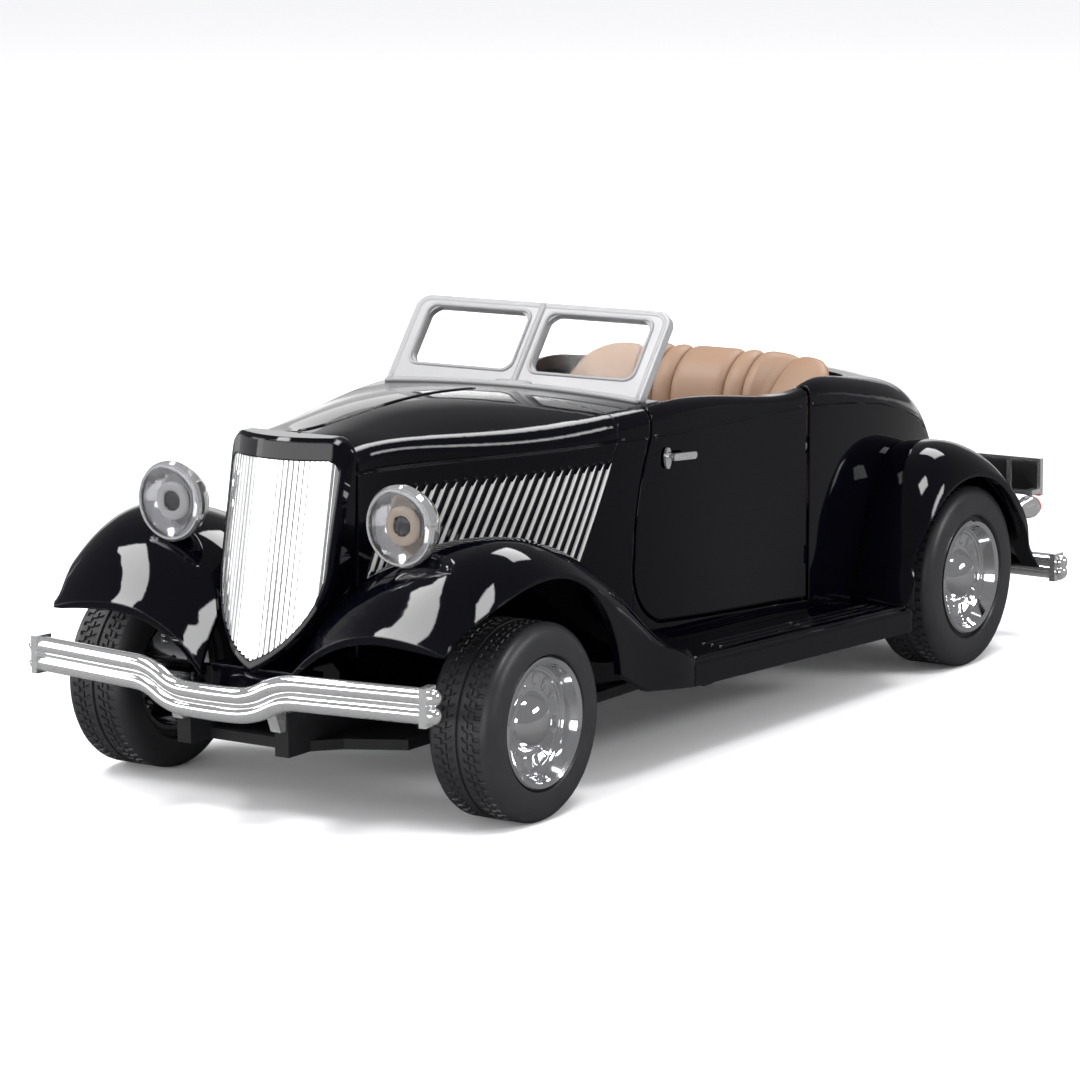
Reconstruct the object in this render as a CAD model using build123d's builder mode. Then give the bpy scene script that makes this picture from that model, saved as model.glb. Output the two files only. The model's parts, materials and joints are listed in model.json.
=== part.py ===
from build123d import *
import os
from math import asin, atan2, cos, degrees, hypot, pi, radians, sin, sqrt, tan

# A 1:24 die-cast model of a 1930s two-door roadster, built as a hot rod: long tapered hood,
# open cockpit, raked windscreen, rear-hinged doors, wide fat tyres, and rolling wheels.
# Millimetres. The car faces -Y, its left side is +X, Z is up and the ground is at z = 0.
# The origin is under the middle of the car's outline.

# ---------------------------------------------------------------- driving dimensions
# overall
front_end = -90.0            # front face of the front bumper
rear_end = 90.0              # rear face of the rear bumper
front_axle_y = -63.0
rear_axle_y = 55.5
# fits
running_gap = 0.05           # an axle in its bearing blocks, on the radius
seam_gap = 0.06              # two fixed pieces side by side
panel_gap = 0.5              # the shut line round a door
pin_gap = 0.06               # a hinge pin in its eye, on the radius

# walls
body_wall = 1.5
fender_wall = 1.1
card_wall = 0.9
plate_wall = 1.4

# wheels
front_tyre_radius = 13.1
rear_tyre_radius = 13.8
front_tyre_face = 35.0       # outer face of a front tyre from the centre line
rear_tyre_face = 33.6
tyre_width = 10.2
tyre_shoulder = 1.5          # the rounded shoulder, along the axle and in radius
tyre_shoulder_drop = 1.9
sidewall_lip = 1.0           # the sidewall's step out beside the rim
bead_step = 1.0              # the tyre's step that the rim's lip sits in
bead_radius = 8.0            # where the tyre sits on the rim
rim_lip_radius = 8.7
lip_set = 0.1                # the rim's lip behind the tyre's face
rim_barrel_wall = 0.6
rim_dish_depth = 2.8
dish_wall = 1.1
hub_dome_radius = 3.3
hub_dome_height = 2.3
hub_radius = 1.9
hub_inside = 19.0            # the hubs reach in to just clear of the bearing blocks
hub_gap = 0.03
axle_inset = 5.2             # an axle's end from the tyre's face
slot_count = 8
slot_radius = 0.95
slot_circle = 5.35
axle_radius = 1.0

# base plate and floor; the body stands on the plate
plate_z = 9.4
body_foot = plate_z + plate_wall + seam_gap
plate_half = 24.0
plate_front = -80.0
plate_rear = 82.0
waist_half = 19.4            # between the wheels
waist_front = -44.0
waist_rear = 36.0
tail_half = 11.0
tub_floor = 14.2
tub_half = 21.9
tub_front = -27.0
tub_rear = 35.6
tub_wall = 1.1
rail_x = 19.4                # stiffening ribs under the floor tub
rail_wide = 2.2
OUTRIGGERS = [-16.0, 6.0, 26.0]   # brackets under the running boards
outrigger_wide = 2.4
outrigger_clear = 2.4        # a bracket's end from the flange of the running board
bearing_x = 17.4             # blocks the axles turn in
bearing_wide = 2.6
bearing_long = 5.2
bearing_over = 2.2
boss_radius = 2.6
boss_top = 16.0
mount_hole_radius = 1.25     # the two screw holes in the base plate
mount_hole_depth = 5.0
MOUNT_HOLES = [-40.0, 44.0]
horn_x = 8.0                 # frame horns, carrying the front bumper
horn_wide = 2.2
horn_top = 15.3
horn_front = -84.0
horn_rear = -64.0

# body shell: one row a station, the hood and doors first and then the tail
# y, half width at the foot, half width at the shoulder, shoulder z, shoulder radius, top z
FRONT_BODY = [
    (-69.8, 9.2, 10.0, 45.4, 2.2, 49.3),
    (-50.0, 14.9, 16.2, 45.4, 2.5, 50.4),
    (-32.0, 21.7, 22.6, 45.4, 2.7, 50.4),
    (-18.0, 24.4, 24.6, 46.4, 2.2, 49.2),
    (0.0, 25.0, 25.1, 46.2, 1.3, 47.9),
    (20.0, 25.2, 25.3, 45.0, 1.3, 46.8),
]
TAIL_BODY = [
    (20.0, 25.2, 25.3, 45.0, 1.3, 46.8),
    (34.0, 25.0, 25.1, 43.4, 3.0, 47.0),
    (48.0, 23.6, 23.8, 40.5, 3.8, 46.0),
    (60.0, 21.0, 21.4, 36.2, 5.0, 43.0),
    (71.0, 17.2, 17.7, 29.8, 6.0, 37.6),
    (79.5, 13.2, 13.6, 23.6, 5.5, 30.2),
    (86.0, 8.8, 9.0, 17.8, 2.6, 21.0),
]
hood_foot_run = (-58.0, 20.5)     # the hood's lower edge climbs from here to this height at the nose
tail_foot_run = (64.0, 15.2)      # and the body's to this height at the tail
# the slanting shut line between hood and cowl, seen from the side
hood_gap_y = -28.0
hood_gap_knee = 44.5         # above this height the line is upright
hood_gap_foot = (-37.6, 20.0)
hood_front = -69.3
crease_z = 44.6              # the crease along the hood's sides, under the shoulder
crease_high = 0.35
crease_deep = 0.3
louvre_count = 24
louvre_rear = -32.6          # middle of the rearmost louvre
louvre_mid = 34.8
louvre_long = 15.4
louvre_pitch = 1.42
louvre_wide = 0.5
louvre_proud = 0.35
louvre_lean = 23.0           # degrees from upright
cowl_rear = -16.4            # rear edge of the cowl's top, over the dashboard
cockpit_half = 23.1
cockpit_rear = 38.6
cockpit_corner = 6.5

# doors, hinged at the rear edge
door_front_top = -20.9
door_belt = 44.3
door_bulge = (-23.5, 35.8)
door_low_front = (-24.2, 27.5)
door_corner_mid = (-23.1, 21.6)
door_foot_front = (-19.0, 18.4)
door_foot_rear = 15.6
door_inside = 15.0           # below the tuck a door takes the whole wall, from here outwards
door_tuck = 44.0             # above it only what is outside the cockpit's opening
hinge_x = 24.45
hinge_y = 19.6
nose_radius = 0.65           # the rounded rear edge of a door, about the hinge line
nose_top = 45.4
groove_radius = 1.05         # the hollow in the quarter panel that the edge turns in
knuckle_radius = 0.6
pin_radius = 0.3
KNUCKLES = [22.0, 38.0]      # middle height of each body knuckle
knuckle_height = 2.4
pin_reach = 1.3              # how far a pin stands out of its knuckle, each way
sill_split = 28.0            # below this the rear body takes the wall behind the cowl

card_long = 36.0             # the trim inside a door, in the side view
card_high = 24.0
card_mid = 31.5
card_corner = 3.0
handle_face = 24.8           # the door's outside at the handle

# fenders: y, outer x, lip z, crest x, crest z, valley x, valley z
FRONT_FENDER = [
    (-81.5, 31.9, 24.8, 22.0, 26.2, 7.0, 18.8),
    (-75.0, 34.5, 28.8, 25.8, 32.5, 8.6, 26.0),
    (-67.0, 35.3, 32.2, 27.6, 36.4, 10.4, 30.7),
    (-58.0, 35.5, 31.9, 28.2, 35.9, 13.2, 32.0),
    (-48.0, 35.2, 26.6, 29.0, 31.4, 16.3, 29.6),
    (-37.0, 34.7, 19.4, 30.6, 22.8, 20.0, 22.6),
    (-25.6, 34.2, 14.6, 32.2, 16.5, 23.0, 16.4),
]
REAR_FENDER = [
    (33.2, 34.2, 12.2, 27.4, 13.4, 24.0, 13.2),
    (35.6, 34.6, 16.6, 27.6, 19.6, 24.0, 19.2),
    (38.6, 34.9, 22.4, 27.9, 27.0, 23.8, 26.4),
    (43.0, 35.0, 27.2, 28.2, 32.4, 23.4, 31.8),
    (49.0, 35.1, 29.8, 28.4, 34.8, 22.4, 34.0),
    (56.5, 35.1, 30.0, 28.2, 34.2, 20.6, 32.8),
    (64.5, 34.9, 26.8, 27.8, 30.6, 18.2, 28.8),
    (72.0, 34.2, 20.0, 26.8, 23.8, 15.2, 22.0),
    (79.0, 32.9, 11.6, 25.0, 14.2, 11.6, 13.2),
]
fender_foot = 7.0
front_arch_top = 32.0        # the wheel openings in the fenders, in the side view
front_arch_back = (17.6, 16.4)    # the opening's rear edge: from the axle, and its height
front_heel_run = 7.0
front_brow_end = (-82.0, 24.0)
front_heel = 12.9            # the fender's lower edge behind the front wheel
board_heel = 11.2
rear_arch_front = 35.2
rear_arch_top = (52.0, 29.7)
rear_arch_slant = (65.5, 24.5)
rear_heel = (78.6, 11.6)     # the rear fender's lowest point, behind the wheel
rear_toe = 9.4               # the rear fender's lower edge ahead of the wheel
house_radius = 16.6          # inner wheel houses, closing the arches from the cabin
house_centre = (54.0, 13.0)
house_inside = 19.3
house_wall = 1.2
house_hole = 2.4             # where the rear hubs pass

# running boards
board_front = -25.5
board_rear = 35.4
board_outer = 34.2
board_top_front = 14.9       # height of the tread at the outer edge, front and rear ends
board_top_rear = 12.4
board_flange = 3.7
board_wall = 1.3
board_inner = 23.2

# grille and shell
grille_half = 8.7
grille_top = 46.3
grille_tip = 20.4
grille_bow = 3.2             # how far the middle stands ahead of the side edges
grille_nose = -74.8          # the face's middle at the grille's top
grille_rake = 0.205          # forward lean, per millimetre down
grille_corner = 1.5
pocket_depth = 1.6
bar_count = 25
bar_width = 0.34
bar_back = 0.1               # the bars' faces behind the shell's rim
bar_proud = 0.4
shell_half = 9.8
shell_top = 49.2
shell_tip = 18.9
shell_corner = 2.8
shell_bevel = 0.5            # the broken edge all round its face
pan_front = -79.8
pan_half = 6.6
pan_foot = 15.4
pan_lap = 0.6                # how far the pan reaches up over the shell's point

# lamps
lamp_x = 18.85
lamp_y = -72.9               # front of the lens
lamp_z = 38.8
lamp_radius = 5.4
lamp_ring = 0.55
lamp_depth = 5.6
lens_seat = 1.0              # depth of the lens's back edge
lens_dome = 0.6
lens_rim = 0.9               # the lens's thickness at its edge
cavity_dome = 2.2
post_x = 19.3
post_y = -70.6
post_radius = 1.2
post_foot = 31.0
tail_lamp_x = 28.0
tail_lamp_y = 84.9
tail_lamp_z = 20.0
tail_lamp_radius = 1.8
tail_lamp_length = 4.4
tail_stalk = 0.7
plate_x = 23.2
plate_y = 87.1
plate_mid = 24.5
plate_long = 11.3
plate_high = 6.0
plate_thick = 1.0
plate_rim = 0.5
plate_rib = 0.7              # the upright rib on the side that faces forwards

# windscreen
screen_base = (-18.6, 49.2)
screen_top = (-10.4, 59.9)
screen_half = 21.6
screen_wall = 1.3
screen_side = 2.6
screen_head = 1.5
screen_foot = 2.2
screen_post = 3.0
screen_corner = 2.2
screen_sunk = 2.4            # the frame runs this far below its base line, to meet the cowl
pane_corner = 1.0
pane_wall = 0.6

# bumpers: two round rails, one above the other, on arms swept back from a curved nose
bumper_half = 33.4
bumper_nose = 30.0           # radius of the nose, in plan
rail_radius = 1.2
rail_spread = 2.3            # between the rails' centres
rail_web = 1.2
front_bumper_z = 18.9
front_bumper_dip = 2.3
front_bumper_turn = 8.0      # sweep of the arms, in degrees
rear_bumper_z = 10.3
rear_bumper_spread = 1.6
rear_bumper_turn = 2.6
dip_half = 9.0               # length of the curve up from the dip, along an arm
clamp_inset = 1.9            # a clamp's middle from the bumper's end
clamp_wide = 1.0
clamp_proud = 0.2
iron_wide = 1.6
iron_high = 2.4
iron_front = -86.6
rear_iron_x = 9.0
rear_iron_end = 87.1

beyond = 300.0               # a cutting block reaches past everything

# cabin
bulkhead_top = 43.0
kick_top = 19.0
seat_half = 22.4
seat_rear = 38.2
seat_corner = 6.0
seat_shelf = 21.5            # the back's foot, above the tub's kick walls
arm_front = 20.0
arm_top = 38.0
arm_level = 3.5              # the arms' tops run level this far, then climb through these
arm_fall = ((32.4, 47.3), (35.0, 49.4))
back_top = 48.9
back_lean = 8.0
back_roll = 4.2              # the rounded top edge all along the back
back_hem = 1.0               # and its outer edge
lap_half = 14.0              # the space the back wraps round, at the cushion
lap_rear = 28.4
lap_corner = 4.0
panel_half = 4.6             # the plain panel in the middle of the back
pleat_count = 7              # pleats each side of it
pleat_pitch = 3.3
pleat_seam = 0.36
pleat_deep = 0.5
cushion_half = 20.6
cushion_front = 3.0
cushion_top = 29.0
cushion_roll = 2.5
dash_y = -17.6
dash_half = 21.4
dash_wall = 1.4
dash_foot = 37.5
DIALS = [
    # x, z, radius
    (13.4, 43.2, 1.7),
    (8.4, 43.2, 1.7),
    (3.4, 43.0, 1.2),
    (-3.4, 43.0, 1.2),
]
column_x = 10.6
column_rake = 22.0
column_radius = 0.6
wheel_y = -6.0
wheel_z = 40.4
wheel_radius = 5.6
wheel_rim = 0.5


def across(y):
    """The upright plane across the car at y, drawn in x and z."""
    return Plane(origin=(0, y, 0), x_dir=(1, 0, 0), z_dir=(0, -1, 0))


def body_outline(station, inset=0.0, shift=0.0):
    """One closed cross-section of the body: foot, sides, shoulder arcs and crown."""
    y, foot_half, half, shoulder, radius, top = station
    half = half - inset
    foot_half = foot_half - inset
    shoulder = shoulder - inset
    top = top - inset
    foot = body_foot - abs(inset)
    rise = top - shoulder
    crown = ((half - radius) ** 2 + rise**2 - radius**2) / (2 * (rise - radius))
    lean = atan2(shoulder - top + crown, half - radius)
    joint_x = crown * cos(lean)
    joint_z = top - crown + crown * sin(lean)
    middle_x = half - radius + radius * cos(lean / 2)
    middle_z = shoulder + radius * sin(lean / 2)
    with BuildSketch(across(y + shift)) as outline:
        with BuildLine():
            Line((-foot_half, foot), (foot_half, foot))
            Line((foot_half, foot), (half, shoulder))
            ThreePointArc((half, shoulder), (middle_x, middle_z), (joint_x, joint_z))
            ThreePointArc((joint_x, joint_z), (0, top), (-joint_x, joint_z))
            ThreePointArc((-joint_x, joint_z), (-middle_x, middle_z), (-half, shoulder))
            Line((-half, shoulder), (-foot_half, foot))
        make_face()
    return outline.sketch


def front_sections(inset=0.0):
    """The cross-sections from hood to doors; an inset gives the hollow inside the wall."""
    return [body_outline(row, inset, -abs(inset) if row == FRONT_BODY[0] else 0) for row in FRONT_BODY]


def tail_sections(inset=0.0):
    """The cross-sections from the doors to the tail, whose end wall the inset keeps."""
    return [body_outline(row, inset, -inset if row == TAIL_BODY[-1] else 0) for row in TAIL_BODY]


def side_view(points):
    """A closed straight-sided figure in the side view, drawn in y and z."""
    with BuildSketch(Plane.YZ) as figure:
        with BuildLine():
            Polyline(*points, close=True)
        make_face()
    return figure.sketch


def door_figure(start, grow=0.0, ceiling=70.0):
    """A door's outline in the side view, drawn in the plane at x = start."""
    with BuildSketch(Plane.YZ.offset(start)) as figure:
        with BuildLine():
            Line((hinge_y, 70), (door_front_top, 70))
            Line((door_front_top, 70), (door_front_top, door_belt))
            ThreePointArc((door_front_top, door_belt), door_bulge, door_low_front)
            ThreePointArc(door_low_front, door_corner_mid, door_foot_front)
            Line(door_foot_front, (hinge_y, door_foot_rear))
            Line((hinge_y, door_foot_rear), (hinge_y, 70))
        make_face()
        if grow:
            offset(amount=grow, kind=Kind.INTERSECTION)
        Rectangle(100, 2 * ceiling, mode=Mode.INTERSECT)
    return figure.sketch


def halfway(start, crest):
    """The middle of the arc that runs level off the crest and ends at start."""
    side = start[0] - crest[0]
    drop = crest[1] - start[1]
    half_chord = hypot(side, drop) / 2
    turn = atan2(drop, abs(side)) / 2
    reach = half_chord if side > 0 else -half_chord
    return (crest[0] + reach, crest[1] - half_chord * tan(turn))


def fender_outline(row):
    """One cross-section of a fender's skin: lip, crest and valley, outside and in."""
    y, outer, lip, crest_x, crest_z, valley_x, valley_z = row
    wall = fender_wall
    crest = (crest_x, crest_z)
    inner_crest = (crest_x, crest_z - wall)
    lip_point = (outer, lip)
    valley = (valley_x, valley_z)
    inner_lip = (outer - wall, lip - wall * 0.3)
    inner_valley = (valley_x, valley_z - wall)
    with BuildSketch(across(y)) as outline:
        with BuildLine():
            Line((outer, fender_foot), lip_point)
            ThreePointArc(lip_point, halfway(lip_point, crest), crest)
            ThreePointArc(crest, halfway(valley, crest), valley)
            Line(valley, inner_valley)
            ThreePointArc(inner_valley, halfway(inner_valley, inner_crest), inner_crest)
            ThreePointArc(inner_crest, halfway(inner_lip, inner_crest), inner_lip)
            Line(inner_lip, (outer - wall, fender_foot))
            Line((outer - wall, fender_foot), (outer, fender_foot))
        make_face()
    return outline.sketch


def fender_fill(row, inward=1.0):
    """One cross-section of everything under a fender's outside, widened inward at the valley."""
    y, outer, lip, crest_x, crest_z, valley_x, valley_z = row
    crest = (crest_x, crest_z)
    lip_point = (outer, lip)
    valley = (valley_x, valley_z)
    with BuildSketch(across(y)) as outline:
        with BuildLine():
            Line((outer, fender_foot), lip_point)
            ThreePointArc(lip_point, halfway(lip_point, crest), crest)
            ThreePointArc(crest, halfway(valley, crest), valley)
            Line(valley, (valley_x - inward, valley_z))
            Line((valley_x - inward, valley_z), (valley_x - inward, fender_foot))
            Line((valley_x - inward, fender_foot), (outer, fender_foot))
        make_face()
    return outline.sketch


def sunk(rows, amount):
    """A fender's rows moved in by an amount, square to its crest line in the side view."""
    moved = []
    for index, row in enumerate(rows):
        y, outer, lip, crest_x, crest_z, valley_x, valley_z = row
        before = rows[max(index - 1, 0)]
        after = rows[min(index + 1, len(rows) - 1)]
        climb = (after[4] - before[4]) / (after[0] - before[0])
        back = amount * climb / hypot(1, climb)
        down = amount / hypot(1, climb)
        moved.append(
            (y + back, outer - amount, lip - down, crest_x, crest_z - down, valley_x, valley_z - down)
        )
    return moved


def front_arch():
    """The side view of what is cut from a front fender's skirt."""
    top = (front_axle_y, front_arch_top)
    back = (front_axle_y + front_arch_back[0], front_arch_back[1])
    with BuildSketch(Plane.YZ.offset(house_inside)) as figure:
        with BuildLine():
            TangentArc(top, front_brow_end, tangent=(-1, 0))
            TangentArc(top, back, tangent=(1, 0))
            Polyline(
                back,
                (back[0] + front_heel_run, front_heel),
                (board_front, board_heel),
                (board_front, 0),
                (front_brow_end[0], 0),
                front_brow_end,
            )
        make_face()
    return figure.sketch


def rear_arch():
    """The side view of what is cut from a rear fender's skirt."""
    spring = (rear_arch_front, house_centre[1])
    with BuildSketch(Plane.YZ) as figure:
        with BuildLine():
            TangentArc(spring, rear_arch_top, tangent=(0, 1))
            TangentArc(rear_arch_top, rear_arch_slant, tangent=(1, 0))
            Polyline(
                rear_arch_slant,
                rear_heel,
                (rear_heel[0] + 5, rear_heel[1]),
                (rear_heel[0] + 5, 0),
                (board_front, 0),
                (board_front, rear_toe),
                (rear_arch_front, rear_toe),
                spring,
            )
        make_face()
    return figure.sketch


def shield(half, top, tip, corner):
    """The grille's upright shield outline: flat top, full sides, drawn to a point."""
    height = top - tip
    shoulder_z = top - corner
    waist = (half * 0.965, tip + height * 0.5)
    cheek = (half * 0.73, tip + height * 0.2)
    with BuildSketch(across(0)) as figure:
        with BuildLine():
            Line((-half + corner, top), (half - corner, top))
            RadiusArc((half - corner, top), (half, shoulder_z), corner)
            Line((half, shoulder_z), waist)
            ThreePointArc(waist, cheek, (0, tip))
            ThreePointArc((0, tip), (-cheek[0], cheek[1]), (-waist[0], waist[1]))
            Line((-waist[0], waist[1]), (-half, shoulder_z))
            RadiusArc((-half, shoulder_z), (-half + corner, top), corner)
        make_face()
    return figure.sketch


def write(builder, name):
    builder.part.label = name
    export_step(builder.part, "parts/" + name + ".step")


def write_pair(builder, name):
    """A left-hand piece and its mirror image, as two nodes."""
    builder.part.label = name + "_left"
    export_step(builder.part, "parts/" + name + "_left.step")
    other = mirror(builder.part, about=Plane.YZ)
    other.label = name + "_right"
    export_step(other, "parts/" + name + "_right.step")


os.makedirs("parts", exist_ok=True)

# ---------------------------------------------------------------- body shell
gap_foot_y, gap_foot_z = hood_gap_foot
half_seam = seam_gap / 2

with BuildPart() as envelope_tool:
    # the body's outside, grown by the seam, to trim what fits against it
    loft(sections=front_sections(-seam_gap))
    loft(sections=tail_sections(-seam_gap))

with BuildPart() as envelope_solid:
    loft(sections=front_sections())
    loft(sections=tail_sections())

with BuildPart() as hollow_tool:
    loft(sections=front_sections(body_wall))
    loft(sections=tail_sections(body_wall))

with BuildPart() as shell_tool:
    add(envelope_solid.part)
    add(hollow_tool.part, mode=Mode.SUBTRACT)
    with BuildSketch(Plane.YZ):
        with BuildLine():
            Polyline(
                (FRONT_BODY[0][0] - 1, 0),
                (FRONT_BODY[0][0] - 1, hood_foot_run[1] + 0.8),
                (hood_foot_run[0], body_foot),
                (tail_foot_run[0], body_foot),
                (TAIL_BODY[-1][0] + 1, tail_foot_run[1]),
                (TAIL_BODY[-1][0] + 1, 0),
                close=True,
            )
        make_face()
    extrude(amount=40, both=True, mode=Mode.SUBTRACT)

with BuildPart() as door_zone:
    # the left door's share of the shell
    extrude(door_figure(cockpit_half), amount=20)
    extrude(door_figure(door_inside, 0, door_tuck), amount=20)
with BuildPart() as door_clearance:
    # and with the shut line round it, on both sides
    extrude(door_figure(cockpit_half, panel_gap), amount=20)
    extrude(door_figure(door_inside, panel_gap, door_tuck), amount=20)
    mirror(about=Plane.YZ)

with BuildPart() as crease_tool:
    with Locations((0, (hood_front + hood_gap_y) / 2, crease_z)):
        Box(60, 60, crease_high)
    loft(sections=front_sections(crease_deep), mode=Mode.SUBTRACT)
with BuildPart() as front_fill:
    # everything under the left front fender's outside, and the seam over it
    loft(sections=[fender_fill(row) for row in sunk(FRONT_FENDER, -seam_gap)])
with BuildPart() as louvre_tool:
    # a row of slanting ribs, from the middle of the wall to just proud of it
    with BuildSketch(Plane.YZ.offset(5)):
        for index in range(louvre_count):
            middle_y = louvre_rear - louvre_pitch * index
            with Locations(Location((middle_y, louvre_mid, 0), (0, 0, -louvre_lean))):
                SlotOverall(louvre_long, louvre_wide, rotation=90)
    extrude(amount=30)
    add(front_fill.part, mode=Mode.SUBTRACT)
    mirror(about=Plane.YZ)
    loft(sections=front_sections(-louvre_proud), mode=Mode.INTERSECT)
    loft(sections=front_sections(body_wall / 2), mode=Mode.SUBTRACT)

# hood: everything ahead of the slanting shut line
with BuildPart() as hood:
    add(shell_tool.part)
    extrude(
        side_view(
            [
                (hood_front, 5),
                (hood_front, 60),
                (hood_gap_y - half_seam, 60),
                (hood_gap_y - half_seam, hood_gap_knee),
                (gap_foot_y - half_seam, gap_foot_z),
                (gap_foot_y - 4, 5),
            ]
        ),
        amount=40,
        both=True,
        mode=Mode.INTERSECT,
    )
    add(crease_tool.part, mode=Mode.SUBTRACT)
    add(louvre_tool.part)
write(hood, "hood")

# cowl: from the shut line to the doors' front edges and the back of the dashboard's top
cowl_foot_rear = door_low_front[0] - panel_gap
with BuildPart() as cowl:
    add(shell_tool.part)
    extrude(
        side_view(
            [
                (hood_gap_y + half_seam, 60),
                (cowl_rear, 60),
                (cowl_rear, sill_split),
                (cowl_foot_rear, sill_split),
                (cowl_foot_rear, 5),
                (gap_foot_y - 4 + 2 * half_seam, 5),
                (gap_foot_y + half_seam, gap_foot_z),
                (hood_gap_y + half_seam, hood_gap_knee),
            ]
        ),
        amount=40,
        both=True,
        mode=Mode.INTERSECT,
    )
    add(door_clearance.part, mode=Mode.SUBTRACT)
write(cowl, "cowl")

# inner wheel houses, closing the arches from the cabin
house_axis = Location((0, house_centre[0], house_centre[1]), (0, 90, 0))
with BuildPart() as wheel_house:
    with Locations(house_axis):
        Cylinder(house_radius + house_wall, 60)
    with Locations(house_axis):
        Cylinder(house_radius + house_wall, 2 * house_inside, mode=Mode.SUBTRACT)
    add(envelope_solid.part, mode=Mode.INTERSECT)

# rear body: sills, quarters, deck and tail, with the hinge knuckles for the doors
sill_front = cowl_foot_rear + seam_gap
quarter_front = 10.0
with BuildPart() as rear_body:
    add(shell_tool.part)
    add(wheel_house.part)
    extrude(
        side_view(
            [
                (sill_front, 5),
                (sill_front, sill_split - seam_gap),
                (quarter_front, sill_split - seam_gap),
                (quarter_front, 60),
                (95, 60),
                (95, 5),
            ]
        ),
        amount=40,
        both=True,
        mode=Mode.INTERSECT,
    )
    add(door_clearance.part, mode=Mode.SUBTRACT)
    # the cockpit's opening, round at its back corners
    with BuildSketch(Plane.XY.offset(30)) as opening:
        with Locations((0, cockpit_rear)):
            Rectangle(2 * cockpit_half, 60, align=(Align.CENTER, Align.MAX))
        fillet(opening.vertices().group_by(Axis.Y)[-1], cockpit_corner)
    extrude(amount=30, mode=Mode.SUBTRACT)
    # wheel arches, and the holes the hubs pass through
    for side in (1, -1):
        arch_x = side * (house_inside + house_wall + 15)
        with Locations(Location((arch_x, house_centre[0], house_centre[1]), (0, 90, 0))):
            Cylinder(house_radius, 30, mode=Mode.SUBTRACT)
    with Locations(Location((0, rear_axle_y, rear_tyre_radius), (0, 90, 0))):
        Cylinder(house_hole, 60, mode=Mode.SUBTRACT)
    # the hollow that each door's rear edge turns in, and the knuckles and pins
    for side in (1, -1):
        with Locations((side * hinge_x, hinge_y, door_foot_rear - panel_gap)):
            Cylinder(groove_radius, 40, align=(Align.CENTER, Align.CENTER, Align.MIN), mode=Mode.SUBTRACT)
        for height in KNUCKLES:
            with Locations((side * hinge_x, hinge_y, height)):
                Cylinder(knuckle_radius, knuckle_height)
                Cylinder(pin_radius, knuckle_height + 2 * pin_reach)
            with Locations((side * (hinge_x - 0.2), hinge_y + 0.6, height)):
                Box(0.8, 1.2, knuckle_height)
write(rear_body, "rear_body")

# doors: the body's own wall, with a round rear edge about the hinge line
with BuildPart() as door:
    add(shell_tool.part)
    add(door_zone.part, mode=Mode.INTERSECT)
    with Locations((hinge_x, hinge_y, door_foot_rear + 0.1)):
        Cylinder(nose_radius, nose_top - door_foot_rear, align=(Align.CENTER, Align.CENTER, Align.MIN))
    for height in KNUCKLES:
        with Locations((hinge_x, hinge_y, height)):
            Cylinder(nose_radius + 0.15, knuckle_height + 0.3, mode=Mode.SUBTRACT)
            Cylinder(pin_radius + pin_gap, knuckle_height + 2 * pin_reach + 0.3, mode=Mode.SUBTRACT)
write_pair(door, "door")

# door cards: moulded trim inside each door
with BuildPart() as door_card:
    loft(sections=front_sections(body_wall + seam_gap))
    loft(sections=front_sections(body_wall + seam_gap + card_wall), mode=Mode.SUBTRACT)
    with BuildSketch(Plane.YZ.offset(20)) as card_outline:
        with Locations(((door_front_top + hinge_y) / 2, card_mid)):
            RectangleRounded(card_long, card_high, card_corner)
    extrude(amount=20, mode=Mode.INTERSECT)
write_pair(door_card, "door_card")

# door handles, at the doors' front edges
with BuildPart() as door_handle:
    with BuildSketch(Plane.YZ.offset(handle_face)):
        with Locations((-17.9, 41.0)):
            Ellipse(0.75, 1.5)
    extrude(amount=0.35)
    with Locations(Location((handle_face + 0.7, -17.9, 41.3), (0, 90, 0))):
        Cylinder(0.42, 1.4)
    with BuildSketch(Plane.YZ.offset(handle_face + 1.1)):
        with Locations((-15.6, 41.1)):
            SlotOverall(6.0, 1.0, rotation=-4)
    extrude(amount=0.6)
write_pair(door_handle, "door_handle")

# ---------------------------------------------------------------- fenders and running boards
with BuildPart() as front_fender:
    loft(sections=[fender_outline(row) for row in FRONT_FENDER])
    extrude(front_arch(), amount=20, mode=Mode.SUBTRACT)
    add(envelope_tool.part, mode=Mode.SUBTRACT)
write_pair(front_fender, "front_fender")

board_length = board_rear - board_front
board_drop = board_top_front - board_top_rear
board_run = (0, board_length, -board_drop)
with BuildPart() as running_board:
    with BuildSketch(across(board_front)) as board_section:
        top = board_top_front
        with BuildLine():
            Line((board_inner, top + 0.3), (board_outer - 1.0, top))
            RadiusArc((board_outer - 1.0, top), (board_outer, top - 1.0), 1.0)
            Line((board_outer, top - 1.0), (board_outer, top - board_flange))
            Line((board_outer, top - board_flange), (board_outer - board_wall, top - board_flange))
            inner = board_outer - board_wall
            Line((inner, top - board_flange), (inner, top - board_wall))
            Line((board_outer - board_wall, top - board_wall), (board_inner, top + 0.3 - board_wall))
            Line((board_inner, top + 0.3 - board_wall), (board_inner, top + 0.3))
        make_face()
    extrude(amount=hypot(board_length, board_drop), dir=board_run)
    add(envelope_tool.part, mode=Mode.SUBTRACT)
write_pair(running_board, "running_board")

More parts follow.
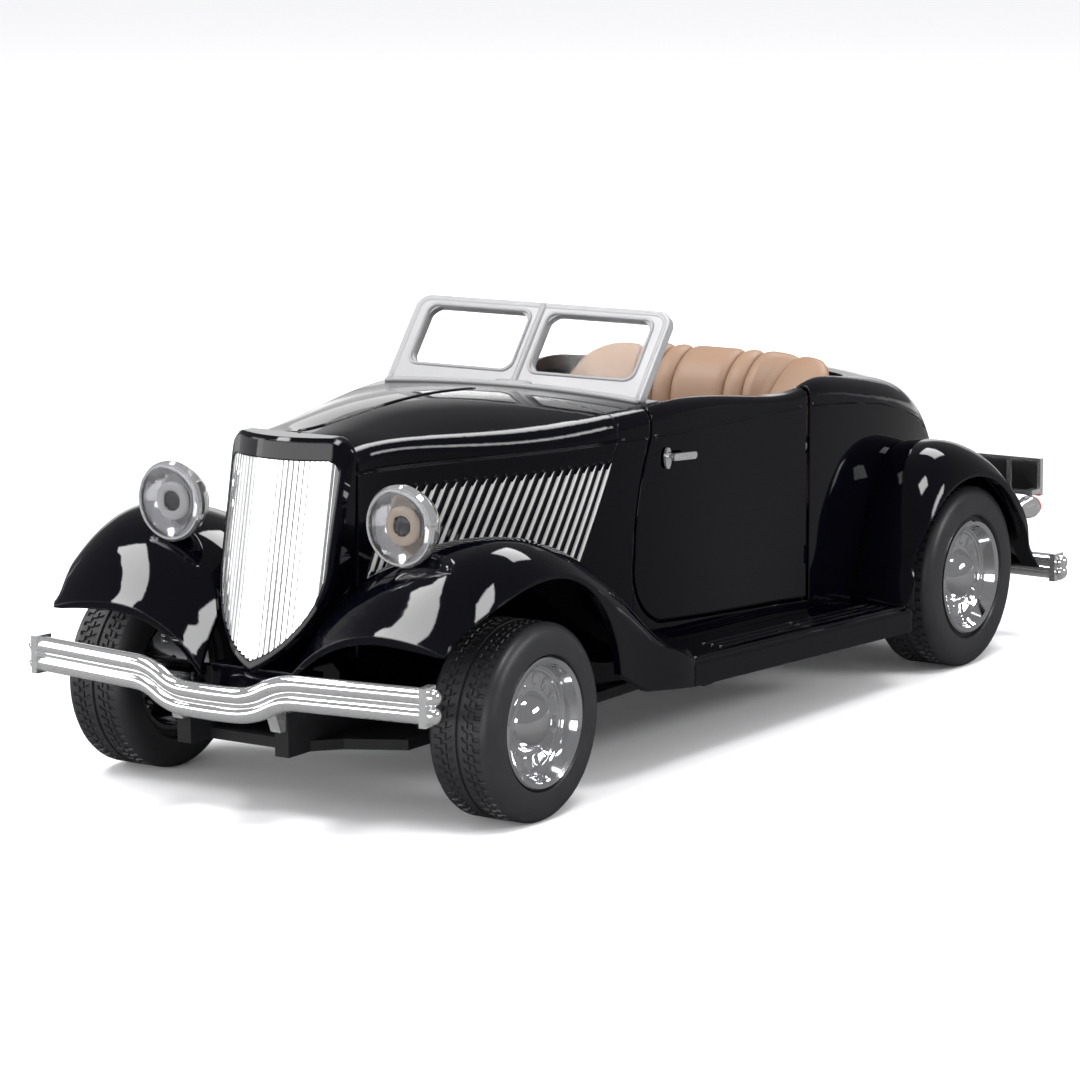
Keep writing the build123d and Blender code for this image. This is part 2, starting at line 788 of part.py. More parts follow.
with BuildPart() as board_tool:
    # everything up to just above the running board's tread
    with BuildSketch(Plane.YZ.offset(15)):
        with BuildLine():
            Polyline(
                (board_front - 5, 0),
                (board_rear + seam_gap, 0),
                (board_rear + seam_gap, board_top_rear + 0.3 + seam_gap),
                (board_front - 5, board_top_front + 0.5 + seam_gap),
                close=True,
            )
        make_face()
    extrude(amount=30)
with BuildPart() as rear_fender:
    loft(sections=[fender_fill(row) for row in REAR_FENDER])
    loft(sections=[fender_fill(row, 4.0) for row in sunk(REAR_FENDER, fender_wall)], mode=Mode.SUBTRACT)
    extrude(rear_arch(), amount=40, mode=Mode.SUBTRACT)
    add(envelope_tool.part, mode=Mode.SUBTRACT)
    add(board_tool.part, mode=Mode.SUBTRACT)
write_pair(rear_fender, "rear_fender")

# ---------------------------------------------------------------- base plate, floor and cabin
PLATE_EDGE = [
    # half width, y
    (8.5, plate_front),
    (12.0, plate_front + 4),
    (waist_half, plate_front + 8),
    (waist_half, waist_front - 2),
    (plate_half, waist_front + 2),
    (plate_half, waist_rear - 1),
    (waist_half, waist_rear + 2),
    (waist_half, plate_rear - 10),
    (tail_half, plate_rear),
]
plate_top = plate_z + plate_wall
AXLES = [
    # y, z
    (front_axle_y, front_tyre_radius),
    (rear_axle_y, rear_tyre_radius),
]
with BuildPart() as chassis:
    with BuildSketch(Plane.XY.offset(plate_z)):
        with BuildLine():
            Polyline(*PLATE_EDGE, *[(-x, y) for x, y in reversed(PLATE_EDGE)], close=True)
        make_face()
    extrude(amount=plate_wall)
    for side in (1, -1):
        # ribs under the floor tub
        with Locations((side * rail_x, (tub_front + tub_rear) / 2, plate_top)):
            Box(
                rail_wide,
                tub_rear - tub_front,
                tub_floor - seam_gap - plate_top,
                align=(Align.CENTER, Align.CENTER, Align.MIN),
            )
        # frame horns
        with Locations((side * horn_x, (horn_front + horn_rear) / 2, plate_z)):
            Box(
                horn_wide,
                horn_rear - horn_front,
                horn_top - plate_z,
                align=(Align.CENTER, Align.CENTER, Align.MIN),
            )
        # bearing blocks
        for axle_y, axle_z in AXLES:
            with Locations((side * bearing_x, axle_y, plate_z)):
                Box(
                    bearing_wide,
                    bearing_long,
                    axle_z + bearing_over - plate_z,
                    align=(Align.CENTER, Align.CENTER, Align.MIN),
                )
    # brackets under the running boards, left and then right
    outrigger_reach = board_outer - board_wall - outrigger_clear
    for bracket_y in OUTRIGGERS:
        low = board_top_front - (board_top_front - board_top_rear) * (
            bracket_y + outrigger_wide / 2 - board_front
        ) / (board_rear - board_front)
        near = low - board_wall + 0.3 - seam_gap
        far = near - 0.3 * (outrigger_reach - board_inner) / (board_outer - 1.0 - board_inner)
        with BuildSketch(across(bracket_y + outrigger_wide / 2)):
            with BuildLine():
                Polyline(
                    (plate_half - 1, plate_z),
                    (outrigger_reach, plate_z),
                    (outrigger_reach, far),
                    (board_inner + 2.4, near - 0.08),
                    (board_inner + 2.4, plate_top),
                    (plate_half - 1, plate_top),
                    close=True,
                )
            make_face()
            mirror(about=Plane.YZ)
        extrude(amount=outrigger_wide)
    # screw bosses with their blind holes
    for boss_y in MOUNT_HOLES:
        with Locations((0, boss_y, plate_z)):
            Cylinder(boss_radius, boss_top - plate_z, align=(Align.CENTER, Align.CENTER, Align.MIN))
            Cylinder(
                mount_hole_radius,
                mount_hole_depth,
                align=(Align.CENTER, Align.CENTER, Align.MIN),
                mode=Mode.SUBTRACT,
            )
    # axle bores
    for axle_y, axle_z in AXLES:
        with Locations(Location((0, axle_y, axle_z), (0, 90, 0))):
            Cylinder(axle_radius + running_gap, 2 * plate_half, mode=Mode.SUBTRACT)
write(chassis, "chassis")

with BuildPart() as cabin_tool:
    # the space inside the body's wall, less the seam
    loft(sections=front_sections(body_wall + seam_gap))
    loft(sections=tail_sections(body_wall + seam_gap))

# floor tub: floor, low kick walls and a bulkhead at the front
tub_length = tub_rear - tub_front
tub_middle = (tub_front + tub_rear) / 2
with BuildPart() as floor_tub:
    with Locations((0, tub_middle, tub_floor)):
        high = bulkhead_top - tub_floor
        Box(2 * tub_half, tub_length, high, align=(Align.CENTER, Align.CENTER, Align.MIN))
    with Locations((0, tub_middle, tub_floor + tub_wall)):
        Box(
            2 * (tub_half - tub_wall),
            tub_length - 2 * tub_wall,
            bulkhead_top,
            align=(Align.CENTER, Align.CENTER, Align.MIN),
            mode=Mode.SUBTRACT,
        )
    with Locations((0, tub_front + tub_wall, kick_top)):
        Box(
            4 * tub_half,
            tub_length,
            bulkhead_top,
            align=(Align.CENTER, Align.MIN, Align.MIN),
            mode=Mode.SUBTRACT,
        )
    add(cabin_tool.part, mode=Mode.INTERSECT)
write(floor_tub, "floor_tub")

# seat: cushion and a horseshoe back that wraps round at both sides
seat_foot = tub_floor + tub_wall + seam_gap


def seat_back(sink):
    """The horseshoe back, with its front and top moved back by sink."""
    with BuildPart() as back:
        with BuildSketch(Plane.XY.offset(seat_shelf)) as plan:
            with Locations((0, seat_rear)):
                Rectangle(2 * seat_half, seat_rear - arm_front, align=(Align.CENTER, Align.MAX))
            fillet(plan.vertices().group_by(Axis.Y)[-1], seat_corner)
        extrude(amount=back_top - sink - seat_shelf)
        with BuildSketch(Plane.XY.offset(cushion_top - 1)) as lap:
            with Locations((0, lap_rear + sink)):
                Rectangle(2 * (lap_half + sink), 60, align=(Align.CENTER, Align.MAX))
            fillet(lap.vertices().group_by(Axis.Y)[-1], lap_corner)
        extrude(amount=back_top, taper=-back_lean, mode=Mode.SUBTRACT)
        rim = [edge for edge in back.edges().group_by(Axis.Z)[-1] if edge.center().Y > arm_front + 1]
        outside = [
            edge
            for edge in rim
            if abs(edge.center().X) > seat_half - back_hem or edge.center().Y > seat_rear - back_roll / 2
        ]
        fillet([edge for edge in rim if edge not in outside], back_roll)
        rim = [edge for edge in back.edges().group_by(Axis.Z)[-1] if edge.center().Y > arm_front + 1]
        fillet(
            [
                edge
                for edge in rim
                if abs(edge.center().X) > seat_half - back_hem / 2
                or edge.center().Y > seat_rear - back_roll / 2
            ],
            back_hem,
        )
    return back.part


def pleat_place(run):
    """Where a seam stands on the lap's edge, this far from the middle: x, y and its turn."""
    straight = lap_half - lap_corner
    bend = lap_corner * pi / 2
    if run < straight:
        return (run, lap_rear, 90)
    if run < straight + bend:
        turn = (run - straight) / lap_corner
        return (
            straight + lap_corner * sin(turn),
            lap_rear - lap_corner + lap_corner * cos(turn),
            90 - degrees(turn),
        )
    return (lap_half, lap_rear - lap_corner - (run - straight - bend), 0)


with BuildPart() as seam_tool:
    for index in range(pleat_count):
        x, y, turn = pleat_place(panel_half + pleat_pitch * index)
        with Locations(Location((x, y, 0), (0, 0, turn))):
            with Locations((-2, 0, cushion_top + 1)):
                Box(9, pleat_seam, 40, align=(Align.MIN, Align.CENTER, Align.MIN))
    mirror(about=Plane.YZ)
with BuildPart() as seat:
    add(seat_back(0))
    add(seam_tool.part, mode=Mode.SUBTRACT)
    add(seat_back(pleat_deep))
    # the arms fall away forwards
    extrude(
        side_view(
            [
                (arm_front - 1, arm_top),
                (arm_front + arm_level, arm_top),
                *arm_fall,
                (arm_fall[-1][0], back_top + 5),
                (arm_front - 1, back_top + 5),
            ]
        ),
        amount=40,
        both=True,
        mode=Mode.SUBTRACT,
    )
with BuildPart() as cushion:
    with Locations((0, tub_rear - tub_wall - seam_gap, seat_foot)):
        Box(
            2 * cushion_half,
            tub_rear - tub_wall - seam_gap - cushion_front,
            cushion_top - seat_foot,
            align=(Align.CENTER, Align.MAX, Align.MIN),
        )
    fillet(cushion.edges().filter_by(Axis.X).group_by(Axis.Z)[-1].sort_by(Axis.Y)[0], cushion_roll)
with BuildPart() as whole_seat:
    add(seat.part)
    add(cushion.part)
write(whole_seat, "seat")

# dashboard, under the cowl's rear lip, with a cluster of round dials
with BuildPart() as dashboard:
    with Locations((0, dash_y, dash_foot)):
        Box(2 * dash_half, dash_wall, 20, align=(Align.CENTER, Align.CENTER, Align.MIN))
    add(cabin_tool.part, mode=Mode.INTERSECT)
    for dial_x, dial_z, dial_radius in DIALS:
        with Locations(Location((dial_x, dash_y + dash_wall / 2 + 0.2, dial_z), (90, 0, 0))):
            Cylinder(dial_radius, 0.4)
write(dashboard, "dashboard")

# steering wheel and its column, fixed to the dashboard
rake = radians(column_rake)
wheel_plane = Plane(origin=(column_x, wheel_y, wheel_z), x_dir=(1, 0, 0), z_dir=(0, cos(rake), sin(rake)))
column_length = (wheel_y - (dash_y + dash_wall / 2 + seam_gap)) / cos(rake)
with BuildPart() as steering_wheel:
    with Locations(wheel_plane):
        Torus(wheel_radius, wheel_rim)
        Cylinder(1.1, 1.0)
        for turn in (90, 210, 330):
            with Locations(Location((0, 0, 0), (0, 0, turn))):
                with Locations((wheel_radius / 2, 0, 0)):
                    Box(wheel_radius, 0.8, 0.5)
    with Locations(wheel_plane):
        Cylinder(column_radius, column_length + 2, align=(Align.CENTER, Align.CENTER, Align.MAX))
    with Locations((0, dash_y + dash_wall / 2 + seam_gap, 0)):
        Box(beyond, beyond, beyond, align=(Align.CENTER, Align.MAX, Align.CENTER), mode=Mode.SUBTRACT)
write(steering_wheel, "steering_wheel")

# ---------------------------------------------------------------- grille
bow_radius = (grille_half**2 + grille_bow**2) / (2 * grille_bow)
face_y = grille_nose - grille_rake * grille_top      # the face's middle, carried down to the ground
lean_run = (0, grille_rake, 1)
lean_length = 60 * hypot(1, grille_rake)


def behind_face(back):
    """The plan at ground level of everything behind the bowed face, moved back a little."""
    reach = bow_radius - 0.5
    radius = bow_radius - back
    centre = face_y + bow_radius
    half = min(reach, radius - 0.1)
    ends = centre - sqrt(radius**2 - half**2)
    with BuildSketch(Plane.XY) as plan:
        with BuildLine():
            ThreePointArc((-half, ends), (0, centre - radius), (half, ends))
            Polyline((half, ends), (half, centre + 30), (-half, centre + 30), (-half, ends))
        make_face()
    return plan.sketch


with BuildPart() as pocket_tool:
    extrude(shield(grille_half, grille_top, grille_tip, grille_corner), amount=95)
    extrude(behind_face(pocket_depth), amount=lean_length, dir=lean_run, mode=Mode.SUBTRACT)
with BuildPart() as grille_shell:
    extrude(shield(shell_half, shell_top, shell_tip, shell_corner), amount=95)
    with Locations((0, hood_front - seam_gap, 0)):
        Box(beyond, beyond, beyond, align=(Align.CENTER, Align.MIN, Align.CENTER), mode=Mode.SUBTRACT)
    extrude(behind_face(0), amount=lean_length, dir=lean_run, mode=Mode.INTERSECT)
    face_edges = grille_shell.faces().sort_by(Axis.Y)[0].edges()
    chamfer(face_edges, shell_bevel)
    add(pocket_tool.part, mode=Mode.SUBTRACT)
    # splash pan under the point
    with Locations((0, pan_front, pan_foot)):
        Box(
            2 * pan_half,
            hood_front - seam_gap - pan_front,
            shell_tip + pan_lap - pan_foot,
            align=(Align.CENTER, Align.MIN, Align.MIN),
        )
write(grille_shell, "grille_shell")

bar_pitch = 2 * degrees(asin((grille_half - bar_width) / (bow_radius - bar_back))) / (bar_count - 1)
with BuildPart() as grille:
    extrude(behind_face(bar_back + bar_proud), amount=lean_length, dir=lean_run)
    extrude(
        behind_face(pocket_depth - seam_gap), amount=lean_length, dir=lean_run, mode=Mode.SUBTRACT
    )
    with BuildSketch(Plane.XY):
        for index in range(bar_count):
            turn = bar_pitch * (index - (bar_count - 1) / 2)
            with Locations(Location((0, face_y + bow_radius, 0), (0, 0, turn))):
                with Locations((0, -(bow_radius - bar_back - (bar_proud + 0.2) / 2))):
                    Rectangle(bar_width, bar_proud + 0.2)
    extrude(amount=lean_length, dir=lean_run)
    extrude(
        shield(
            grille_half - seam_gap, grille_top - seam_gap, grille_tip + 2 * seam_gap, grille_corner
        ),
        amount=95,
        mode=Mode.INTERSECT,
    )
write(grille, "grille")

# ---------------------------------------------------------------- lamps
with BuildPart() as rear_fill:
    loft(sections=[fender_fill(row) for row in sunk(REAR_FENDER, -seam_gap)])


def halfway_down(edge, depth):
    """The middle of the arc from edge to an apex at this depth on the axis."""
    x, y = halfway((edge[0], -edge[1]), (0, depth))
    return (x, -y)


def along(x, y, z):
    """A plane through a lamp's front centre, drawn in x and in depth to the rear."""
    return Plane(origin=(x, y, z), x_dir=(1, 0, 0), z_dir=(0, 0, 1))


ring_inner = lamp_radius - lamp_ring
ring_back = (lamp_radius - 0.3, 1.2)
cavity_edge = (ring_inner, lens_seat)
cavity_apex = (0, lens_seat + cavity_dome)
with BuildPart() as headlight:
    with Locations((post_x, post_y, post_foot)):
        Cylinder(post_radius, lamp_z - post_foot, align=(Align.CENTER, Align.CENTER, Align.MIN))
    with BuildSketch(along(lamp_x, lamp_y, lamp_z)):
        with BuildLine():
            Polyline((0, 0), (lamp_radius - 0.3, 0), (lamp_radius, 0.4), (lamp_radius, 1.0), ring_back)
            ThreePointArc(ring_back, halfway(ring_back, (0, lamp_depth)), (0, lamp_depth))
            Line((0, lamp_depth), (0, 0))
        make_face()
    revolve(axis=Axis((lamp_x, lamp_y, lamp_z), (0, 1, 0)))
    with BuildSketch(along(lamp_x, lamp_y, lamp_z)):
        with BuildLine():
            Polyline((0, -1), (ring_inner, -1), cavity_edge)
            ThreePointArc(cavity_edge, halfway(cavity_edge, cavity_apex), cavity_apex)
            Line(cavity_apex, (0, -1))
        make_face()
    revolve(axis=Axis((lamp_x, lamp_y, lamp_z), (0, 1, 0)), mode=Mode.SUBTRACT)
    add(front_fill.part, mode=Mode.SUBTRACT)
write_pair(headlight, "headlight")

lens_edge = ring_inner - seam_gap
lens_front = (lens_edge, lens_seat - lens_rim)
lens_back = (lens_edge, lens_seat)
front_apex = (0, lens_seat - lens_rim - lens_dome)
back_apex = (0, lens_seat - lens_dome)
with BuildPart() as headlight_lenses:
    with BuildSketch(along(lamp_x, lamp_y, lamp_z)):
        with BuildLine():
            Line(front_apex, back_apex)
            ThreePointArc(back_apex, halfway(lens_back, back_apex), lens_back)
            Line(lens_back, lens_front)
            ThreePointArc(lens_front, halfway(lens_front, front_apex), front_apex)
        make_face()
    revolve(axis=Axis((lamp_x, lamp_y, lamp_z), (0, 1, 0)))
    mirror(about=Plane.YZ)
write(headlight_lenses, "headlight_lenses")

# tail lamps on stalks from the rear fenders
tail_nose = (tail_lamp_radius * 0.55, 0.5 - tail_lamp_length)
with BuildPart() as tail_lamp:
    with Locations(Location((tail_lamp_x - 0.5, tail_lamp_y - 5.5, tail_lamp_z - 0.6), (90, 0, 0))):
        Cylinder(tail_stalk, 8.0)
    add(rear_fill.part, mode=Mode.SUBTRACT)
    with BuildSketch(along(tail_lamp_x, tail_lamp_y, tail_lamp_z)):
        with BuildLine():
            Polyline((0, 0), (tail_lamp_radius, 0), (tail_lamp_radius, -1.0), tail_nose)
            ThreePointArc(tail_nose, halfway_down(tail_nose, tail_lamp_length), (0, -tail_lamp_length))
            Line((0, -tail_lamp_length), (0, 0))
        make_face()
    revolve(axis=Axis((tail_lamp_x, tail_lamp_y, tail_lamp_z), (0, 1, 0)))
write_pair(tail_lamp, "tail_lamp")

with BuildPart() as tail_lenses:
    for side in (1, -1):
        with Locations(Location((side * tail_lamp_x, tail_lamp_y + seam_gap, tail_lamp_z), (-90, 0, 0))):
            Cylinder(tail_lamp_radius - 0.25, 0.8, align=(Align.CENTER, Align.CENTER, Align.MIN))
write(tail_lenses, "tail_lenses")

# blank number plate frame beside the left tail lamp
with BuildPart() as plate_frame:
    with Locations((plate_x, plate_y, plate_mid)):
        Box(plate_long, plate_thick, plate_high)
    # a shallow panel in each face
    for face_y in (plate_y - plate_thick / 2, plate_y + plate_thick / 2):
        with Locations((plate_x, face_y, plate_mid)):
            Box(plate_long - 2 * plate_rim, plate_rim, plate_high - 2 * plate_rim, mode=Mode.SUBTRACT)
    with Locations((plate_x, plate_y - plate_thick / 4, plate_mid)):
        Box(plate_rib, plate_thick / 2, plate_high - plate_rim)
    # bracket from the lamp's top
    with Locations((tail_lamp_x, plate_y - plate_thick / 2, tail_lamp_z + tail_lamp_radius + seam_gap)):
        Box(1.2, 2.4, 0.8, align=(Align.CENTER, Align.MAX, Align.MIN))
write(plate_frame, "plate_frame")

# ---------------------------------------------------------------- bumpers


def rail_section(plane, spread):
    """Both rails and the web between them, cut across the bumper."""
    with BuildSketch(plane) as section:
        with Locations((0, spread / 2), (0, -spread / 2)):
            Circle(rail_radius)
        Rectangle(rail_web, spread)
    return section.sketch


def bumper(face, way, turn, height, dip, spread):
    """A whole bumper: its foremost point at y = face, its arms swept back along y by way."""
    lean = radians(turn)
    nose_y = face + way * rail_radius
    along_arm = Vector(cos(lean), way * sin(lean), 0)
    across_arm = Vector(way * sin(lean), -cos(lean), 0)
    up = Vector(0, 0, 1)
    low = Vector(bumper_nose * sin(lean), nose_y + way * bumper_nose * (1 - cos(lean)), height - dip)
    run = (bumper_half - rail_radius - low.X) / cos(lean)
    crest = low + along_arm * (dip_half if dip else 0) + up * dip
    end = low + along_arm * run + up * dip
    with BuildPart() as half_bumper:
        # the nose bends round, the arm climbs out of the dip by two arcs and runs straight
        revolve(
            rail_section(Plane(origin=(0, nose_y, height - dip), x_dir=(0, -1, 0), z_dir=(1, 0, 0)), spread),
            axis=Axis((0, nose_y + way * bumper_nose, 0), (0, 0, way)),
            revolution_arc=turn,
        )
        if dip:
            bend = (dip_half**2 + dip**2) / (4 * dip)
            climb = 2 * degrees(atan2(dip, dip_half))
            for place, centre in ((low, low + up * bend), (crest, crest - up * bend)):
                revolve(
                    rail_section(Plane(origin=place, x_dir=across_arm, z_dir=along_arm), spread),
                    axis=Axis(centre, across_arm),
                    revolution_arc=climb,
                )
        extrude(
            rail_section(Plane(origin=crest, x_dir=across_arm, z_dir=along_arm), spread),
            amount=(end - crest).length,
        )
        # rounded ends, and a clamp near each
        with Locations(Plane(origin=end, x_dir=along_arm, z_dir=across_arm)):
            with Locations((0, spread / 2, 0), (0, -spread / 2, 0)):
                Sphere(rail_radius)
            with Locations((rail_radius - clamp_inset, 0, 0)):
                Box(clamp_wide, spread + 2 * rail_radius + 2 * clamp_proud, 2 * (rail_radius + clamp_proud))
        mirror(about=Plane.YZ)
    return half_bumper


front_bumper = bumper(
    front_end, 1, front_bumper_turn, front_bumper_z, front_bumper_dip, rail_spread
)
write(front_bumper, "front_bumper")
rear_bumper = bumper(rear_end, -1, rear_bumper_turn, rear_bumper_z, 0, rear_bumper_spread)
write(rear_bumper, "rear_bumper")

# bumper irons, from the frame's ends to the bumpers
with BuildPart() as bumper_irons:
    for side in (1, -1):
        with BuildSketch(Plane.YZ.offset(side * horn_x)):
            with BuildLine():
                Polyline(
                    (horn_front - seam_gap, horn_top - iron_high),
                    (horn_front - seam_gap, horn_top),
                    (iron_front + 1.2, front_bumper_z),
                    (iron_front, front_bumper_z),
                    (iron_front, front_bumper_z - iron_high),
                    (horn_front - 1.2, horn_top - iron_high),
                    close=True,
                )
            make_face()
        extrude(amount=iron_wide / 2, both=True)
        with Locations((side * rear_iron_x, plate_rear + seam_gap, plate_z)):
            Box(
                iron_wide,
                rear_iron_end - plate_rear - seam_gap,
                plate_wall,
                align=(Align.CENTER, Align.MIN, Align.MIN),
            )
write(bumper_irons, "bumper_irons")

# ---------------------------------------------------------------- windscreen
screen_run = screen_top[0] - screen_base[0]
screen_rise = screen_top[1] - screen_base[1]
screen_length = hypot(screen_run, screen_rise)
screen_plane = Plane(
    origin=(0, screen_base[0], screen_base[1]),
    x_dir=(1, 0, 0),
    z_dir=(0, -screen_rise / screen_length, screen_run / screen_length),
)
opening_high = screen_length - screen_head - screen_foot
opening_half = (screen_half - screen_side - screen_post / 2) / 2
opening_x = screen_post / 2 + opening_half
PANES = [
    # x, middle height up the slope
    (opening_x, screen_foot + opening_high / 2),
    (-opening_x, screen_foot + opening_high / 2),
]
with BuildPart() as windscreen_frame:
    with BuildSketch(screen_plane) as frame_face:
        with Locations((0, screen_length)):
            Rectangle(2 * screen_half, screen_length + screen_sunk, align=(Align.CENTER, Align.MAX))
        fillet(frame_face.vertices().group_by(Axis.Z)[-1], screen_corner)
        with Locations(*PANES):
            RectangleRounded(2 * opening_half, opening_high, pane_corner, mode=Mode.SUBTRACT)
    extrude(amount=screen_wall / 2, both=True)
    add(envelope_tool.part, mode=Mode.SUBTRACT)
write(windscreen_frame, "windscreen_frame")
with BuildPart() as windscreen_panes:
    with BuildSketch(screen_plane):
        with Locations(*PANES):
            RectangleRounded(2 * (opening_half - seam_gap), opening_high - 2 * seam_gap, pane_corner)
    extrude(amount=pane_wall / 2, both=True)
write(windscreen_panes, "windscreen_panes")

# ---------------------------------------------------------------- wheels


def axle_plane(y, z):
    """The upright plane through an axle, drawn in x and in radius."""
    return Plane(origin=(0, y, z), x_dir=(1, 0, 0), z_dir=(0, -1, 0))


def tyre_profile(face, radius):
    """Half section of a tyre whose outer face is at x = face, with two bevels on each shoulder."""
    inner = face - tyre_width
    edge = tyre_shoulder * 0.3
    bevel = radius - tyre_shoulder_drop * 0.36
    with BuildLine() as profile:
        Polyline(
            (inner + bead_step, bead_radius),
            (face - bead_step, bead_radius),
            (face - bead_step, rim_lip_radius + seam_gap),
            (face, rim_lip_radius + sidewall_lip),
            (face, radius - tyre_shoulder_drop),
            (face - edge, bevel),
            (face - tyre_shoulder, radius),
            (inner + tyre_shoulder, radius),
            (inner + edge, bevel),
            (inner, radius - tyre_shoulder_drop),
            (inner, rim_lip_radius + sidewall_lip),
            close=True,
        )
    return profile.line


def rim_profile(face):
    """Half section of a rim and hub, from the lip to the bore."""
    lip_face = face - lip_set
    dish = lip_face - rim_dish_depth
    barrel = bead_radius - seam_gap
    dome_r, dome_x = halfway((hub_dome_radius, dish), (0, dish + hub_dome_height))
    with BuildLine() as profile:
        Polyline(
            (face - bead_step + seam_gap, barrel),
            (face - tyre_width + bead_step + 0.4, barrel),
            (face - tyre_width + bead_step + 0.4, barrel - rim_barrel_wall),
            (dish - dish_wall, barrel - rim_barrel_wall),
            (dish - dish_wall, hub_radius),
            (hub_inside, hub_radius),
            (hub_inside, axle_radius + hub_gap),
            (face - axle_inset, axle_radius + hub_gap),
            (face - axle_inset, 0),
            (dish + hub_dome_height, 0),
        )
        ThreePointArc((dish + hub_dome_height, 0), (dome_x, dome_r), (dish, hub_dome_radius))
        Polyline(
            (dish, hub_dome_radius),
            (dish, barrel - rim_barrel_wall - 0.4),
            (lip_face - 0.3, barrel - 0.1),
            (lip_face, rim_lip_radius - 0.25),
            (lip_face - 0.25, rim_lip_radius),
            (face - bead_step + seam_gap, rim_lip_radius),
            (face - bead_step + seam_gap, barrel),
        )
    return profile.line


WHEELS = [
    # name, outer face, radius, axle y
    ("front", front_tyre_face, front_tyre_radius, front_axle_y),
    ("rear", rear_tyre_face, rear_tyre_radius, rear_axle_y),
]
for name, face, radius, axle_y in WHEELS:
    spin = Axis((0, axle_y, radius), (1, 0, 0))
    with BuildPart() as tyre:
        with BuildSketch(axle_plane(axle_y, radius)):
            add(tyre_profile(face, radius))
            make_face()
        revolve(axis=spin)
    write_pair(tyre, "tyre_" + name)
    with BuildPart() as rim:
        with BuildSketch(axle_plane(axle_y, radius)):
            add(rim_profile(face))
            make_face()
        revolve(axis=spin)
        with Locations(Location((face - lip_set - rim_dish_depth, axle_y, radius), (0, 90, 0))):
            with PolarLocations(slot_circle, slot_count):
                Cylinder(slot_radius, 3 * dish_wall, mode=Mode.SUBTRACT)
    write_pair(rim, "rim_" + name)
    with BuildPart() as axle:
        with Locations(Location((0, axle_y, radius), (0, 90, 0))):
            Cylinder(axle_radius, 2 * (face - axle_inset - seam_gap))
    write(axle, name + "_axle")
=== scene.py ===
# %% [markdown]
# # A die-cast model convertible, dressed in Blender
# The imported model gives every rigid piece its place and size. This script lays paint, plating,
# rubber and moulded plastic on those pieces, and builds the ones whose detail is finer than the
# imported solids: the pleated seat, the tyre tread, the louvres, the lamp lenses and the trim lines.

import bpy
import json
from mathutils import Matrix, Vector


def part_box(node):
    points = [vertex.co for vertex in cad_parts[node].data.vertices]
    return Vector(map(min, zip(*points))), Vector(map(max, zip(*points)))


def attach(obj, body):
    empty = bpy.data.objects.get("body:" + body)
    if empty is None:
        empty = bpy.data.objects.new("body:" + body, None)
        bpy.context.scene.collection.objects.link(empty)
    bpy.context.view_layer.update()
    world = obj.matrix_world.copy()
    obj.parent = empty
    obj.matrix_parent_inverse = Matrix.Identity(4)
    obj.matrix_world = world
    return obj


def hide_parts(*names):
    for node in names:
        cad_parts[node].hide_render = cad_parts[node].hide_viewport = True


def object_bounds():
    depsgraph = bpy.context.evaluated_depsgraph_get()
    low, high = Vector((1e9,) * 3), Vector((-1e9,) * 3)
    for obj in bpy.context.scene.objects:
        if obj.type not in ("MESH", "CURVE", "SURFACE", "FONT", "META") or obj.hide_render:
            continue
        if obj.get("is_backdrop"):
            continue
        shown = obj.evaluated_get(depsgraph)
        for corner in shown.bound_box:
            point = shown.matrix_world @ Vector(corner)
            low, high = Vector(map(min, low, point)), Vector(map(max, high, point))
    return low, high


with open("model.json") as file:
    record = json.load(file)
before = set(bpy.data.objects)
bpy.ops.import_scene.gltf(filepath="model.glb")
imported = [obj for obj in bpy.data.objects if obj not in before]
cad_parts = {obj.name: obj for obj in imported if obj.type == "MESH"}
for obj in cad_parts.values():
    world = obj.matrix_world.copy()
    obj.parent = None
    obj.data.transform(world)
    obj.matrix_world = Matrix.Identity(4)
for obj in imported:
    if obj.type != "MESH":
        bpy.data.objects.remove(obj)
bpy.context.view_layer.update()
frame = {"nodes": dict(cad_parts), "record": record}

# %% Names used throughout
import json
import math

import bmesh
import bpy
from mathutils import Matrix, Vector
from mathutils.bvhtree import BVHTree

# A size times MM is in metres. A plain size that goes through mm() is in millimetres.
MM = 0.001


def mm(*values):
    """A point given in millimetres, in Blender's metres."""
    return Vector(values) * MM


def new_object(name, data):
    """An object that holds this data, in the scene."""
    thing = bpy.data.objects.new(name, data)
    bpy.context.scene.collection.objects.link(thing)
    return thing


print("one millimetre is", MM, "m")

# %% [markdown]
# ## Camera, floor and light
# The camera stands in front and to the car's left, a little above the windscreen, with a long
# lens that keeps the wheels round. The floor is a plain pale sheet.
#
# Gloss black paint shows whatever stands round it. A dark room with a lit screen behind the car
# would keep it black, but would darken the floor as well. So the floor and the sky have two
# looks: the plain one, and a dimmer one for reflections, with a bright band behind the car.

# %% Camera
CAMERA_PLACE = mm(331.224, -504.476, 130.167)
CAMERA_AIM = mm(-5.843, -3.75, 24.582)
CAMERA_ROLL = math.radians(-0.30)
LENS_LENGTH = 140.587
SENSOR_WIDTH = 36.0
NEAREST_SEEN, FURTHEST_SEEN = 0.01, 20.0

camera_data = bpy.data.cameras.new("camera")
camera_data.sensor_width = SENSOR_WIDTH
camera_data.lens = LENS_LENGTH
camera_data.clip_start = NEAREST_SEEN
camera_data.clip_end = FURTHEST_SEEN
camera = new_object("camera", camera_data)
camera.location = CAMERA_PLACE
facing = (CAMERA_AIM - camera.location).to_track_quat("-Z", "Y")
camera.rotation_mode = "QUATERNION"
camera.rotation_quaternion = facing @ Matrix.Rotation(CAMERA_ROLL, 3, "Z").to_quaternion()
bpy.context.scene.camera = camera
print("camera stands", round((camera.location - CAMERA_AIM).length, 3), "m away")

